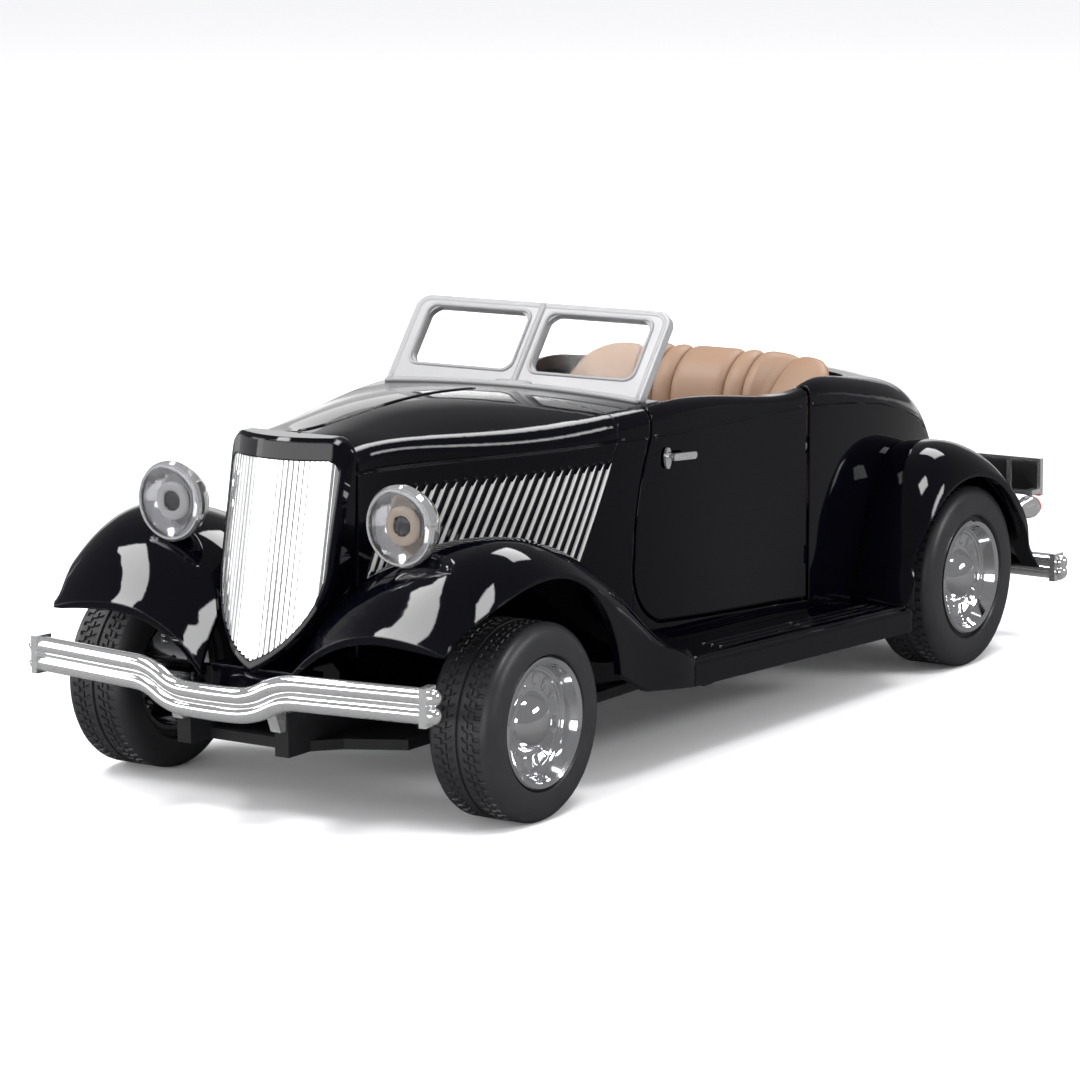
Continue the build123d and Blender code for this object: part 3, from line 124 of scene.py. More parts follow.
# %% Floor sheet
FLOOR_REACH = 4.0
floor_mesh = bpy.data.meshes.new("floor")
floor_mesh.from_pydata(
    [
        (-FLOOR_REACH, -FLOOR_REACH, 0),
        (FLOOR_REACH, -FLOOR_REACH, 0),
        (FLOOR_REACH, FLOOR_REACH, 0),
        (-FLOOR_REACH, FLOOR_REACH, 0),
    ],
    [],
    [(0, 1, 2, 3)],
)
floor = new_object("floor", floor_mesh)
floor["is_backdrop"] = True
print("floor is", 2 * FLOOR_REACH, "m wide")

# %% What a reflection sees
BEHIND = (-0.61, 0.79, 0.0)


def glow_behind(tree, place, start, full, dim, bright):
    """A value that rises smoothly from dim to bright the further a place lies behind the car,
    or the more nearly a direction points there."""
    along = tree.nodes.new("ShaderNodeVectorMath")
    along.operation = "DOT_PRODUCT"
    along.inputs[1].default_value = BEHIND
    tree.links.new(place, along.inputs[0])
    rise = tree.nodes.new("ShaderNodeMapRange")
    rise.interpolation_type = "SMOOTHSTEP"
    rise.inputs["From Min"].default_value = start
    rise.inputs["From Max"].default_value = full
    rise.inputs["To Min"].default_value = dim
    rise.inputs["To Max"].default_value = bright
    tree.links.new(along.outputs["Value"], rise.inputs["Value"])
    return rise.outputs["Result"]


def by_ray(tree, seen, mirrored, kind):
    """The value or colour seen directly or through glass, or the mirrored one in a reflection."""
    path = tree.nodes.new("ShaderNodeLightPath")
    reflected = tree.nodes.new("ShaderNodeMath")
    reflected.operation = "SUBTRACT"
    reflected.use_clamp = True
    tree.links.new(path.outputs["Is Glossy Ray"], reflected.inputs[0])
    tree.links.new(path.outputs["Is Transmission Ray"], reflected.inputs[1])
    choice = tree.nodes.new("ShaderNodeMix")
    choice.data_type = kind
    tree.links.new(reflected.outputs["Value"], choice.inputs["Factor"])
    sockets = [socket for socket in choice.inputs if socket.enabled and socket.name in ("A", "B")]
    sockets[0].default_value = seen
    tree.links.new(mirrored, sockets[1])
    return next(socket for socket in choice.outputs if socket.enabled)


print("reflections brighten towards", BEHIND)

# %% Floor paint
FLOOR_COLOUR = (0.93, 0.93, 0.94, 1)
floor_paint = bpy.data.materials.new("pale_floor")
floor_paint.use_nodes = True
floor_tree = floor_paint.node_tree
floor_shader = floor_tree.nodes["Principled BSDF"]
floor_shader.inputs["Roughness"].default_value = 0.9
floor_shader.inputs["Specular IOR Level"].default_value = 0.1
floor_place = floor_tree.nodes.new("ShaderNodeTexCoord").outputs["Object"]
floor_glow = glow_behind(floor_tree, floor_place, start=0.35, full=0.70, dim=0.10, bright=0.70)
floor_colour = by_ray(floor_tree, FLOOR_COLOUR, floor_glow, "RGBA")
floor_tree.links.new(floor_colour, floor_shader.inputs["Base Color"])
floor_mesh.materials.append(floor_paint)
print("floor material:", floor_paint.name)

# %% Sky
SKY_COLOUR = (0.99, 0.99, 1.0, 1)
bpy.context.scene.view_settings.view_transform = "Standard"
world = bpy.data.worlds.new("studio")
bpy.context.scene.world = world
world.use_nodes = True
sky_tree = world.node_tree
background = sky_tree.nodes["Background"]
background.inputs["Color"].default_value = SKY_COLOUR
sky_way = sky_tree.nodes.new("ShaderNodeTexCoord").outputs["Generated"]
sky_glow = glow_behind(sky_tree, sky_way, start=0.90, full=0.985, dim=0.20, bright=0.70)
sky_tree.links.new(by_ray(sky_tree, 1.0, sky_glow, "FLOAT"), background.inputs["Strength"])
print("sky:", world.name)

# %% Studio lights
LIGHTS = [
    # name, place, the point it faces, width and height (all in metres), watts
    ("key_box", (0.34, -0.16, 0.86), (0, -0.05, 0.02), 0.30, 0.20, 3.5),
    ("front_wall", (-0.25, -1.10, 0.24), (0, -0.05, 0.03), 2.30, 0.32, 11.0),
    ("fender_box", (-0.42, -0.28, 0.80), (0, -0.07, 0.03), 0.46, 0.20, 4.5),
    ("left_strip", (0.95, 0.35, 0.50), (0, 0.02, 0.03), 0.50, 0.16, 4.0),
    ("top_box", (-0.05, 0.62, 0.85), (0, 0, 0.03), 0.45, 0.30, 4.5),
    ("right_wall", (-1.10, -0.25, 0.20), (0, -0.05, 0.03), 1.20, 0.40, 1.6),
    ("back_wall", (-0.80, 1.15, 0.26), (0, 0, 0.03), 1.20, 0.26, 0.6),
    ("right_fill", (-0.80, -0.35, 0.45), (0, 0, 0.03), 0.30, 0.30, 2.0),
]
for name, place, aim, wide, high, watts in LIGHTS:
    light_data = bpy.data.lights.new(name, "AREA")
    light_data.shape = "RECTANGLE"
    light_data.size = wide
    light_data.size_y = high
    light_data.energy = watts
    light = new_object(name, light_data)
    light.location = place
    light.rotation_mode = "QUATERNION"
    light.rotation_quaternion = (Vector(aim) - Vector(place)).to_track_quat("-Z", "Y")
print("lights:", len(LIGHTS))

# %% [markdown]
# ## Finishes
# A finish is a material with its own nodes. No sprayed or moulded surface is quite even: its
# gloss and its height waver a little. An image could carry that, but noise has no seams and needs
# no file. As every finish shares it, it is one shader node group, with its own settings in each
# material.

# %% Shared surface group
def new_group(name, inputs, outputs):
    """An empty shader group with float inputs (name, default) and outputs (name, kind)."""
    group = bpy.data.node_groups.new(name, "ShaderNodeTree")
    for label, default in inputs:
        socket = group.interface.new_socket(label, in_out="INPUT", socket_type="NodeSocketFloat")
        socket.default_value = default
    for label, kind in outputs:
        group.interface.new_socket(label, in_out="OUTPUT", socket_type=kind)
    return group, group.nodes.new("NodeGroupInput"), group.nodes.new("NodeGroupOutput")


def noise_layer(group, coordinates, scale_socket, detail):
    """A layer of noise whose scale comes from one of the group's inputs."""
    layer = group.nodes.new("ShaderNodeTexNoise")
    layer.inputs["Detail"].default_value = detail
    group.links.new(coordinates, layer.inputs["Vector"])
    group.links.new(scale_socket, layer.inputs["Scale"])
    return layer


surface, surface_in, surface_out = new_group(
    "uneven_surface",
    [
        ("Scale", 400.0),
        ("Fine Scale", 4000.0),
        ("Fine Share", 0.3),
        ("Rough Low", 0.1),
        ("Rough High", 0.2),
    ],
    [
        ("Height", "NodeSocketFloat"),
        ("Roughness", "NodeSocketFloat"),
        ("Patches", "NodeSocketFloat"),
    ],
)
BROAD_DETAIL, FINE_DETAIL = 2.0, 3.0
NOISE_LOW, NOISE_HIGH = 0.3, 0.7
place = surface.nodes.new("ShaderNodeTexCoord").outputs["Object"]
broad = noise_layer(surface, place, surface_in.outputs["Scale"], BROAD_DETAIL)
fine = noise_layer(surface, place, surface_in.outputs["Fine Scale"], FINE_DETAIL)
blend = surface.nodes.new("ShaderNodeMix")
blend.data_type = "FLOAT"
surface.links.new(surface_in.outputs["Fine Share"], blend.inputs["Factor"])
surface.links.new(broad.outputs["Fac"], blend.inputs["A"])
surface.links.new(fine.outputs["Fac"], blend.inputs["B"])
surface.links.new(blend.outputs["Result"], surface_out.inputs["Height"])
spread = surface.nodes.new("ShaderNodeMapRange")
spread.inputs["From Min"].default_value = NOISE_LOW
spread.inputs["From Max"].default_value = NOISE_HIGH
surface.links.new(blend.outputs["Result"], spread.inputs["Value"])
surface.links.new(surface_in.outputs["Rough Low"], spread.inputs["To Min"])
surface.links.new(surface_in.outputs["Rough High"], spread.inputs["To Max"])
surface.links.new(spread.outputs["Result"], surface_out.inputs["Roughness"])
surface.links.new(broad.outputs["Fac"], surface_out.inputs["Patches"])
print("shared group:", surface.name)

# %% A maker for finishes
def finish_material(
    name, light, dark, metallic, scale, fine_scale, fine_share, rough, bump, edge=0.0, **plain
):
    """A material whose colour, roughness and bump come from the shared surface group.
    Edge is the radius, in mm, by which paint or plating rounds off its corners."""
    material = bpy.data.materials.new(name)
    material.use_nodes = True
    tree = material.node_tree
    shader = tree.nodes["Principled BSDF"]
    shader.inputs["Metallic"].default_value = metallic
    for socket, value in plain.items():
        shader.inputs[socket.replace("_", " ")].default_value = value
    group = tree.nodes.new("ShaderNodeGroup")
    group.node_tree = surface
    group.inputs["Scale"].default_value = scale
    group.inputs["Fine Scale"].default_value = fine_scale
    group.inputs["Fine Share"].default_value = fine_share
    group.inputs["Rough Low"].default_value = rough[0]
    group.inputs["Rough High"].default_value = rough[1]
    tint = tree.nodes.new("ShaderNodeMix")
    tint.data_type = "RGBA"
    tint.inputs["A"].default_value = (*dark, 1)
    tint.inputs["B"].default_value = (*light, 1)
    tree.links.new(group.outputs["Patches"], tint.inputs["Factor"])
    tree.links.new(tint.outputs["Result"], shader.inputs["Base Color"])
    tree.links.new(group.outputs["Roughness"], shader.inputs["Roughness"])
    relief = tree.nodes.new("ShaderNodeBump")
    relief.inputs["Strength"].default_value = 1.0
    relief.inputs["Distance"].default_value = bump
    tree.links.new(group.outputs["Height"], relief.inputs["Height"])
    if edge:
        soft_edge = tree.nodes.new("ShaderNodeBevel")
        soft_edge.inputs["Radius"].default_value = edge * MM
        tree.links.new(soft_edge.outputs["Normal"], relief.inputs["Normal"])
    tree.links.new(relief.outputs["Normal"], shader.inputs["Normal"])
    return material


print("finish maker:", finish_material.__name__)

# %% [markdown]
# ## The car's own finishes
# The body is thick sprayed enamel that rounds off every edge, the bright parts are plated plastic,
# the screen frame is soft silver paint, the tyres are black vinyl and the seat is plain tan
# moulding. Each could be a material built by hand, but one maker keeps them alike. Its settings
# are a light and a dark colour, the metalness, the scales of the broad and the fine unevenness
# with the share of the fine, the range of roughness, and the height of the unevenness in metres.

# %% Paint, plating and silver
paint = finish_material(
    "gloss_black_enamel", light=(0.0010, 0.0011, 0.0024), dark=(0.0005, 0.0006, 0.0014),
    metallic=0.0, scale=120, fine_scale=900, fine_share=0.2, rough=(0.02, 0.05), bump=3e-6,
    edge=0.35, Specular_IOR_Level=0.28,
)
plating = finish_material(
    "bright_plating", light=(0.95, 0.955, 0.96), dark=(0.90, 0.905, 0.91),
    metallic=0.92, scale=90, fine_scale=700, fine_share=0.2, rough=(0.04, 0.09), bump=6e-6,
)
wheel_plating = finish_material(
    "wheel_plating", light=(0.90, 0.905, 0.92), dark=(0.84, 0.845, 0.86),
    metallic=1.0, scale=90, fine_scale=700, fine_share=0.2, rough=(0.05, 0.10), bump=4e-6,
)
silver = finish_material(
    "soft_silver", light=(0.27, 0.27, 0.275), dark=(0.24, 0.24, 0.245),
    metallic=0.2, scale=150, fine_scale=1200, fine_share=0.2, rough=(0.30, 0.40), bump=2e-6,
    edge=0.3, Specular_IOR_Level=0.3,
)
print("painted and plated finishes:", paint.name, plating.name, wheel_plating.name, silver.name)

# %% Vinyl, plastic, steel and lenses
rubber = finish_material(
    "tyre_vinyl", light=(0.019, 0.019, 0.021), dark=(0.012, 0.012, 0.014),
    metallic=0.0, scale=300, fine_scale=5000, fine_share=0.5, rough=(0.34, 0.48), bump=1.2e-5,
    Specular_IOR_Level=0.45,
)
black_plastic = finish_material(
    "moulded_black", light=(0.010, 0.010, 0.011), dark=(0.006, 0.006, 0.007),
    metallic=0.0, scale=250, fine_scale=4000, fine_share=0.5, rough=(0.35, 0.50), bump=1.5e-5,
    Specular_IOR_Level=0.25,
)
tan = finish_material(
    "tan_moulding", light=(0.265, 0.162, 0.102), dark=(0.225, 0.136, 0.084),
    metallic=0.0, scale=140, fine_scale=2600, fine_share=0.6, rough=(0.42, 0.56), bump=3.0e-5,
)
steel = finish_material(
    "plain_steel", light=(0.60, 0.60, 0.61), dark=(0.48, 0.48, 0.49),
    metallic=1.0, scale=200, fine_scale=3000, fine_share=0.5, rough=(0.25, 0.38), bump=6e-6,
)
red = finish_material(
    "red_lens", light=(0.50, 0.012, 0.010), dark=(0.36, 0.006, 0.006),
    metallic=0.0, scale=200, fine_scale=1500, fine_share=0.2, rough=(0.06, 0.12), bump=5e-6,
)
clear = finish_material(
    "clear_pane", light=(0.97, 0.98, 0.98), dark=(0.94, 0.95, 0.95),
    metallic=0.0, scale=60, fine_scale=600, fine_share=0.1, rough=(0.02, 0.04), bump=2e-6,
    Transmission_Weight=1.0, IOR=1.15,
)
print("moulded finishes:", rubber.name, black_plastic.name, tan.name, red.name, clear.name)

# %% Finishes that only the added pieces have
louvre_silver = finish_material(
    "louvre_silver", light=(0.80, 0.80, 0.79), dark=(0.70, 0.70, 0.69),
    metallic=0.55, scale=200, fine_scale=2500, fine_share=0.3, rough=(0.28, 0.40), bump=6e-6,
)
lens_glass = finish_material(
    "lens_glass", light=(0.56, 0.56, 0.57), dark=(0.48, 0.48, 0.49),
    metallic=0.0, scale=60, fine_scale=900, fine_share=0.1, rough=(0.12, 0.18), bump=3e-6,
    Transmission_Weight=1.0, IOR=1.25,
)
# The two lamps' rings are the same pale part; the tan of the left one and the grey of the right one
# are painted reflections.
lamp_ring_tan_painted_reflection = finish_material(
    "lamp_ring_tan_painted_reflection", light=(0.88, 0.74, 0.60), dark=(0.78, 0.63, 0.48),
    metallic=0.0, scale=300, fine_scale=3000, fine_share=0.4, rough=(0.40, 0.55), bump=8e-6,
)
lamp_ring_grey_painted_reflection = finish_material(
    "lamp_ring_grey_painted_reflection", light=(0.84, 0.83, 0.81), dark=(0.74, 0.73, 0.71),
    metallic=0.0, scale=300, fine_scale=3000, fine_share=0.4, rough=(0.35, 0.50), bump=8e-6,
)
smoked = finish_material(
    "smoked_bulb", light=(0.10, 0.10, 0.105), dark=(0.05, 0.05, 0.055),
    metallic=0.4, scale=300, fine_scale=3000, fine_share=0.3, rough=(0.15, 0.30), bump=6e-6,
)
dial_white = finish_material(
    "dial_white", light=(0.80, 0.80, 0.78), dark=(0.72, 0.72, 0.70),
    metallic=0.0, scale=300, fine_scale=3000, fine_share=0.3, rough=(0.45, 0.60), bump=4e-6,
)
print("lamp and dial finishes:", lens_glass.name, lamp_ring_tan_painted_reflection.name, smoked.name, dial_white.name)

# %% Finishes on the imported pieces
FINISHES = {
    "body_paint": paint,
    "base_plate": black_plastic,
    "cabin_black": black_plastic,
    "seat_tan": tan,
    "bright_trim": plating,
    "silver_frame": silver,
    "clear_pane": clear,
    "lamp_lens": clear,
    "red_lens": red,
    "tyre": rubber,
    "axle_steel": steel,
}
node_slot = {row["node"]: row["material_slot"] for row in frame["record"]["subparts"]}
for node, packed in frame["nodes"].items():
    packed.data.materials.clear()
    finish = wheel_plating if node.startswith("rim_") else FINISHES[node_slot[node]]
    packed.data.materials.append(finish)
    for face in packed.data.polygons:
        face.material_index = 0
print("packed pieces finished:", len(node_slot))

# %% [markdown]
# ## Tools for building pieces
# Every piece below is a list of points and faces worked out by a short function. They could be
# modelled by hand or with modifiers, but worked-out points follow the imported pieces' own
# measures. A few helpers do the rest: one makes the object and sets it riding, one joins rings of
# points with faces, one sweeps a round bead along a line, and one finds where a straight line
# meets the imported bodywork, so that trim lies on the paint.

# %% Making a piece
WELD_DISTANCE = 1e-7


def make_piece(name, points, faces, body, slot, material, crisp=35.0):
    """A mesh object of points (metres) and faces that rides on a body. Edges that turn less than
    the crisp angle, in degrees, are smooth."""
    mesh = bpy.data.meshes.new(name)
    mesh.from_pydata([tuple(point) for point in points], [], [tuple(face) for face in faces])
    work = bmesh.new()
    work.from_mesh(mesh)
    bmesh.ops.remove_doubles(work, verts=work.verts, dist=WELD_DISTANCE)
    bmesh.ops.recalc_face_normals(work, faces=work.faces)
    work.to_mesh(mesh)
    work.free()
    mesh.shade_smooth()
    mesh.set_sharp_from_angle(angle=math.radians(crisp))
    mesh.materials.append(material)
    piece = new_object(name, mesh)
    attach(piece, body)
    return piece


print("points closer than", WELD_DISTANCE, "m become one")

# %% Faces between rings of points
def ring_faces(ring_count, sides, closed=False):
    """Four-sided faces that join rings of points, one ring after another. A closed row of rings
    meets itself, and an open one has a flat face over each end."""
    faces = []
    for ring in range(ring_count if closed else ring_count - 1):
        here, there = ring * sides, (ring + 1) % ring_count * sides
        for step in range(sides):
            beside = (step + 1) % sides
            faces.append((here + step, here + beside, there + beside, there + step))
    if not closed:
        faces += [range(sides), range((ring_count - 1) * sides, ring_count * sides)]
    return faces


print("two rings of four points make", len(ring_faces(2, 4)), "faces")

# %% A round bead along a line
DOME = ((0.7, 0.7), (1.0, 0.05))


def bead(path, radius, sides=10, closed=False):
    """Points and faces of a tube along a path. Its open ends are domed by two more rings, each
    a share of the radius further on and a share of the radius wide."""
    path = [Vector(point) for point in path]
    count = len(path)
    rings = []
    normal = None
    for index, point in enumerate(path):
        before = path[(index - 1) % count] if closed or index else point
        after = path[(index + 1) % count] if closed or index < count - 1 else point
        along = (after - before).normalized()
        if normal is None:
            seed = Vector((0, 0, 1)) if abs(along.z) < 0.9 else Vector((1, 0, 0))
            normal = (seed - along * seed.dot(along)).normalized()
        normal = (normal - along * normal.dot(along)).normalized()
        rings.append((point, along, normal, 1.0))
    if not closed:
        point, along, normal, _ = rings[0]
        start = [(point - along * radius * on, along, normal, size) for on, size in reversed(DOME)]
        point, along, normal, _ = rings[-1]
        end = [(point + along * radius * on, along, normal, size) for on, size in DOME]
        rings = start + rings + end
    points = []
    for point, along, normal, size in rings:
        side = along.cross(normal)
        for step in range(sides):
            turn = 2 * math.pi * step / sides
            spoke = normal * math.cos(turn) + side * math.sin(turn)
            points.append(point + spoke * radius * size)
    return points, ring_faces(len(rings), sides, closed)


print("points in a two-point bead:", len(bead([(0, 0, 0), (0, 1, 0)], 1)[0]))

# %% Joining and mirroring lists of points and faces
def joined(*shapes):
    """Several (points, faces) as one."""
    points, faces = [], []
    for more_points, more_faces in shapes:
        base = len(points)
        points += list(more_points)
        faces += [tuple(base + corner for corner in face) for face in more_faces]
    return points, faces


def other_side(point):
    """The same point on the car's other side."""
    return Vector((-point[0], point[1], point[2]))


def mirrored(shape):
    """The same shape on the car's other side."""
    points, faces = shape
    return [other_side(point) for point in points], faces


def both_sides(name, shape, slot, material, bodies=("car", "car")):
    """A left-hand shape and its mirror image, as two pieces."""
    for side, body, form in (("left", bodies[0], shape), ("right", bodies[1], mirrored(shape))):
        make_piece(f"{name}_{side}", *form, body, slot, material)


print("left is +X:", tuple(other_side((1, 0, 0))), "is on the right")

# %% Where a line meets the bodywork
SEARCH_LENGTH = 0.2
FROM_LEFT = Vector((-1, 0, 0))
DOWN = Vector((0, 0, -1))


def skin_of(*nodes):
    """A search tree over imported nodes' faces."""
    points, faces = [], []
    for node in nodes:
        mesh = frame["nodes"][node].data
        base = len(points)
        points += [vertex.co.copy() for vertex in mesh.vertices]
        faces += [[base + corner for corner in face.vertices] for face in mesh.polygons]
    return BVHTree.FromPolygons(points, faces)


def on_skin(tree, start, direction, lift):
    """The first point met from start along direction, lift metres proud of the face there."""
    way = Vector(direction)
    hit, normal, _, _ = tree.ray_cast(Vector(start), way.normalized(), SEARCH_LENGTH)
    if hit is None:
        raise ValueError(f"nothing met from {tuple(start)}")
    if normal.dot(way) > 0:
        normal = -normal
    return hit + normal * lift


print("a search line is", SEARCH_LENGTH, "m long")

# %% Values along a line
def spaced(start, end, count):
    """Evenly spaced values from start to end, both included."""
    return [start + (end - start) * index / (count - 1) for index in range(count)]


def between(rows, value):
    """Straight-line interpolation in rows of (value, result)."""
    for (a, low), (b, high) in zip(rows, rows[1:]):
        if a <= value <= b:
            return low + (high - low) * (value - a) / (b - a)
    return rows[0][1] if value < rows[0][0] else rows[-1][1]


print("three values from 0 to 1:", spaced(0, 1, 3))

# %% [markdown]
# ## Louvres
# The hood's sides carry rows of slanted louvres, each a raised rib whose face is left silver
# against the black paint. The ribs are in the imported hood. The silver could be a second material
# on the hood's own faces, but those faces don't end where the rib does. So a thin strip follows
# each rib: a small grid of points is dropped sideways on to the hood and takes up its curve.

# %% Silver faces on the louvres
LOUVRE_COUNT = 24
LOUVRE_PITCH = 1.42 * MM
LOUVRE_LONG = 15.0 * MM
LOUVRE_WIDE = 0.62 * MM
LOUVRE_LEAN = math.radians(23.0)
LOUVRE_LIFT = 0.05 * MM
LOUVRE_CROWN = 0.10 * MM
LOUVRE_THICK = 0.34 * MM
LOUVRE_TIP = 1e-6
ROUND_FROM = 0.96
LOUVRE_MIDDLE = 34.8 * MM
BESIDE_HOOD = 40 * MM
hood_low, hood_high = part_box("hood")
louvre_rear = hood_high.y - 4.57 * MM
hood_skin = skin_of("hood")


def louvre_strips():
    """Thin domed strips with rounded ends over the left side's ribs."""
    shapes = []
    lean = Vector((0, math.sin(LOUVRE_LEAN), math.cos(LOUVRE_LEAN)))
    cross = Vector((0, lean.z, -lean.y))
    for index in range(LOUVRE_COUNT):
        middle = Vector((BESIDE_HOOD, louvre_rear - index * LOUVRE_PITCH, LOUVRE_MIDDLE))
        rows = []
        for share in spaced(-1, 1, 13):
            past = max(0.0, (abs(share) - ROUND_FROM) / (1 - ROUND_FROM))
            half = max(LOUVRE_WIDE / 2 * math.sqrt(max(0.0, 1 - past**2)), LOUVRE_TIP)
            at = middle + lean * (share * LOUVRE_LONG / 2)
            top = on_skin(hood_skin, at, FROM_LEFT, LOUVRE_LIFT)
            row = [
                top + cross * (half * k) - Vector((LOUVRE_CROWN * k**2, 0, 0))
                for k in (-1, -0.6, 0, 0.6, 1)
            ]
            row += [top + cross * (half * k) - Vector((LOUVRE_THICK, 0, 0)) for k in (1, -1)]
            rows.append(row)
        points = [point for row in rows for point in row]
        shapes.append((points, ring_faces(len(rows), len(rows[0]))))
    return joined(*shapes)


both_sides("louvre_faces", louvre_strips(), "silver_frame", louvre_silver)
print("louvre faces:", 2 * LOUVRE_COUNT)

# %% [markdown]
# ## Pressed lines in the bodywork
# A steel body of this age has rolled beads: along the belt under the door tops, round the
# quarters, down the middle of the hood and along the running boards' edges. A bump in the material
# could fake them, but would leave no shape in the mesh. So they are round beads sunk part of the
# way into the paint, and each shows as a bright line of reflection.

# %% Belt line
BELT = [
    # y from front to rear, height, mm
    (-28.0, 44.6),
    (-21.0, 44.3),
    (20.0, 43.9),
    (30.0, 43.1),
    (42.5, 41.5),
    (51.5, 39.4),
    (59.4, 37.0),
    (65.5, 34.2),
]
BELT_RUNS = [
    # piece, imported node, y of its front and rear end in mm, points, the bodies it rides on
    ("door_belt", "door_left", -20.4, 17.5, 40, ("door_left", "door_right")),
    ("cowl_belt", "cowl", -27.4, -21.9, 8, ("car", "car")),
    ("quarter_belt", "rear_body", 21.1, 64.5, 50, ("car", "car")),
]
BEAD_RADIUS = 0.30 * MM
BEAD_LIFT = -0.12 * MM
BESIDE_BODY = 60


def belt_run(node, start, end, count):
    """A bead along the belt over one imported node, between two values of y in mm."""
    tree = skin_of(node)
    path = [
        on_skin(tree, mm(BESIDE_BODY, y, between(BELT, y)), FROM_LEFT, BEAD_LIFT)
        for y in spaced(start, end, count)
    ]
    return bead(path, BEAD_RADIUS)


for name, node, start, end, count, bodies in BELT_RUNS:
    both_sides(name, belt_run(node, start, end, count), "body_paint", paint, bodies)
print("belt beads a side:", len(BELT_RUNS))

# %% Hood ridge
RIDGE_RADIUS = 0.28 * MM
RIDGE_LIFT = -0.05 * MM
RIDGE_REAR = -28.6 * MM
ABOVE_HOOD = 0.08
ridge_path = [
    on_skin(hood_skin, (0, y, ABOVE_HOOD), DOWN, RIDGE_LIFT)
    for y in spaced(hood_low.y + 0.6 * MM, RIDGE_REAR, 30)
]
make_piece("hood_ridge", *bead(ridge_path, RIDGE_RADIUS), "car", "body_paint", paint)
print("hood ridge, mm long:", round((ridge_path[-1] - ridge_path[0]).length * 1000, 1))

# %% Running-board beads
EDGE_INSET = 0.9
EDGE_RADIUS = 0.32 * MM
RIB_INSETS = (3.2, 4.6, 6.0)
RIB_RADIUS = 0.24 * MM
RIB_LIFT = -0.06 * MM
RIB_FRONT = -14.0 * MM
ABOVE_BOARD = 0.03
board_low, board_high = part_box("running_board_left")
board_skin = skin_of("running_board_left")


def board_line(inset, front, rear, count, lift):
    """Points along the left board's top, inset mm from its outer edge."""
    return [
        on_skin(board_skin, (board_high.x - inset * MM, y, ABOVE_BOARD), DOWN, lift)
        for y in spaced(front, rear, count)
    ]


edge_line = board_line(EDGE_INSET, board_low.y + 1.0 * MM, board_high.y - 1.0 * MM, 40, 0.0)
both_sides("board_bead", bead(edge_line, EDGE_RADIUS), "body_paint", paint)
for rank, inset in enumerate(RIB_INSETS):
    rib_line = board_line(inset, RIB_FRONT, board_high.y - 2.5 * MM, 30, RIB_LIFT)
    both_sides(f"board_rib_{rank + 1}", bead(rib_line, RIB_RADIUS), "body_paint", paint)
print("ribs on each board:", len(RIB_INSETS))

# %% [markdown]
# ## Windscreen trim
# The cast silver frame is round-edged: a fat rim runs up both sides and across the top, each pane
# has a thin bead round it, and a ridge runs down the centre post to a small hinge at the cowl.
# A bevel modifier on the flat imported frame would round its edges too, but not add the ridge and
# the beads. So beads laid in the frame's own sloping plane give it all of them.

# %% The screen's sloping plane
_, screen_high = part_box("windscreen_frame")
pane_low, pane_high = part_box("windscreen_panes")
SLOPE_BACK, SLOPE_UP = 8.2, 10.7
SCREEN_LEAN = math.atan2(SLOPE_BACK, SLOPE_UP)
PANE_HALF_HIGH = 4.89 * MM
PANE_INNER = 1.5 * MM
PANE_OUTER = 19.0 * MM
up_slope = Vector((0, math.sin(SCREEN_LEAN), math.cos(SCREEN_LEAN)))
off_slope = Vector((0, -math.cos(SCREEN_LEAN), math.sin(SCREEN_LEAN)))
pane_middle = Vector((0, (pane_low.y + pane_high.y) / 2, (pane_low.z + pane_high.z) / 2))
screen_half = screen_high.x


def on_screen(x, up, off):
    """A point across the car, up the slope from the panes' middle, and off the screen's face."""
    return pane_middle + Vector((x, 0, 0)) + up_slope * up + off_slope * off


def pane_loop(side, wider, taller, corner, off, steps):
    """A closed loop with round corners, larger than one pane's opening by so much each way."""
    low_x, high_x = sorted((side * PANE_INNER, side * PANE_OUTER))
    left, right = low_x - wider + corner, high_x + wider - corner
    high = PANE_HALF_HIGH + taller - corner
    corners = ((right, high, 0), (left, high, 90), (left, -high, 180), (right, -high, 270))
    path = []
    for centre_x, centre_up, start in corners:
        for step in range(steps + 1):
            turn = math.radians(start + 90 * step / steps)
            across = centre_x + corner * math.cos(turn)
            path.append(on_screen(across, centre_up + corner * math.sin(turn), off))
    return path


print("screen leans back", round(math.degrees(SCREEN_LEAN), 1), "degrees")

# %% Rim
RIM_RADIUS = 0.72 * MM
RIM_CORNER = 1.9 * MM
RIM_PROUD = 0.02 * MM
RIM_BELOW_TOP = 0.85 * MM
CORNER_STEPS = 8
FOOT_UP = -(PANE_HALF_HIGH + 2.1 * MM)
rim_half = screen_half - RIM_RADIUS + RIM_PROUD
rim_top = (screen_high.z - pane_middle.z - RIM_BELOW_TOP) / up_slope.z
upright = spaced(FOOT_UP - 0.6 * MM, rim_top - RIM_CORNER, 12)
half_rim = [on_screen(rim_half, up, 0) for up in upright]
for step in range(1, CORNER_STEPS + 1):
    turn = math.radians(90 * step / CORNER_STEPS)
    across = rim_half - RIM_CORNER + RIM_CORNER * math.cos(turn)
    half_rim.append(on_screen(across, rim_top - RIM_CORNER + RIM_CORNER * math.sin(turn), 0))
top_end = rim_half - RIM_CORNER - 2 * MM
top_rim = [on_screen(x, rim_top, 0) for x in spaced(top_end, -top_end, 30)]
rim_path = half_rim + top_rim + [other_side(point) for point in reversed(half_rim)]
screen_rim = bead(rim_path, RIM_RADIUS, sides=16)
make_piece("windscreen_rim", *screen_rim, "car", "silver_frame", silver)
print("windscreen trim round", round(2 * screen_half * 1000, 1), "mm")

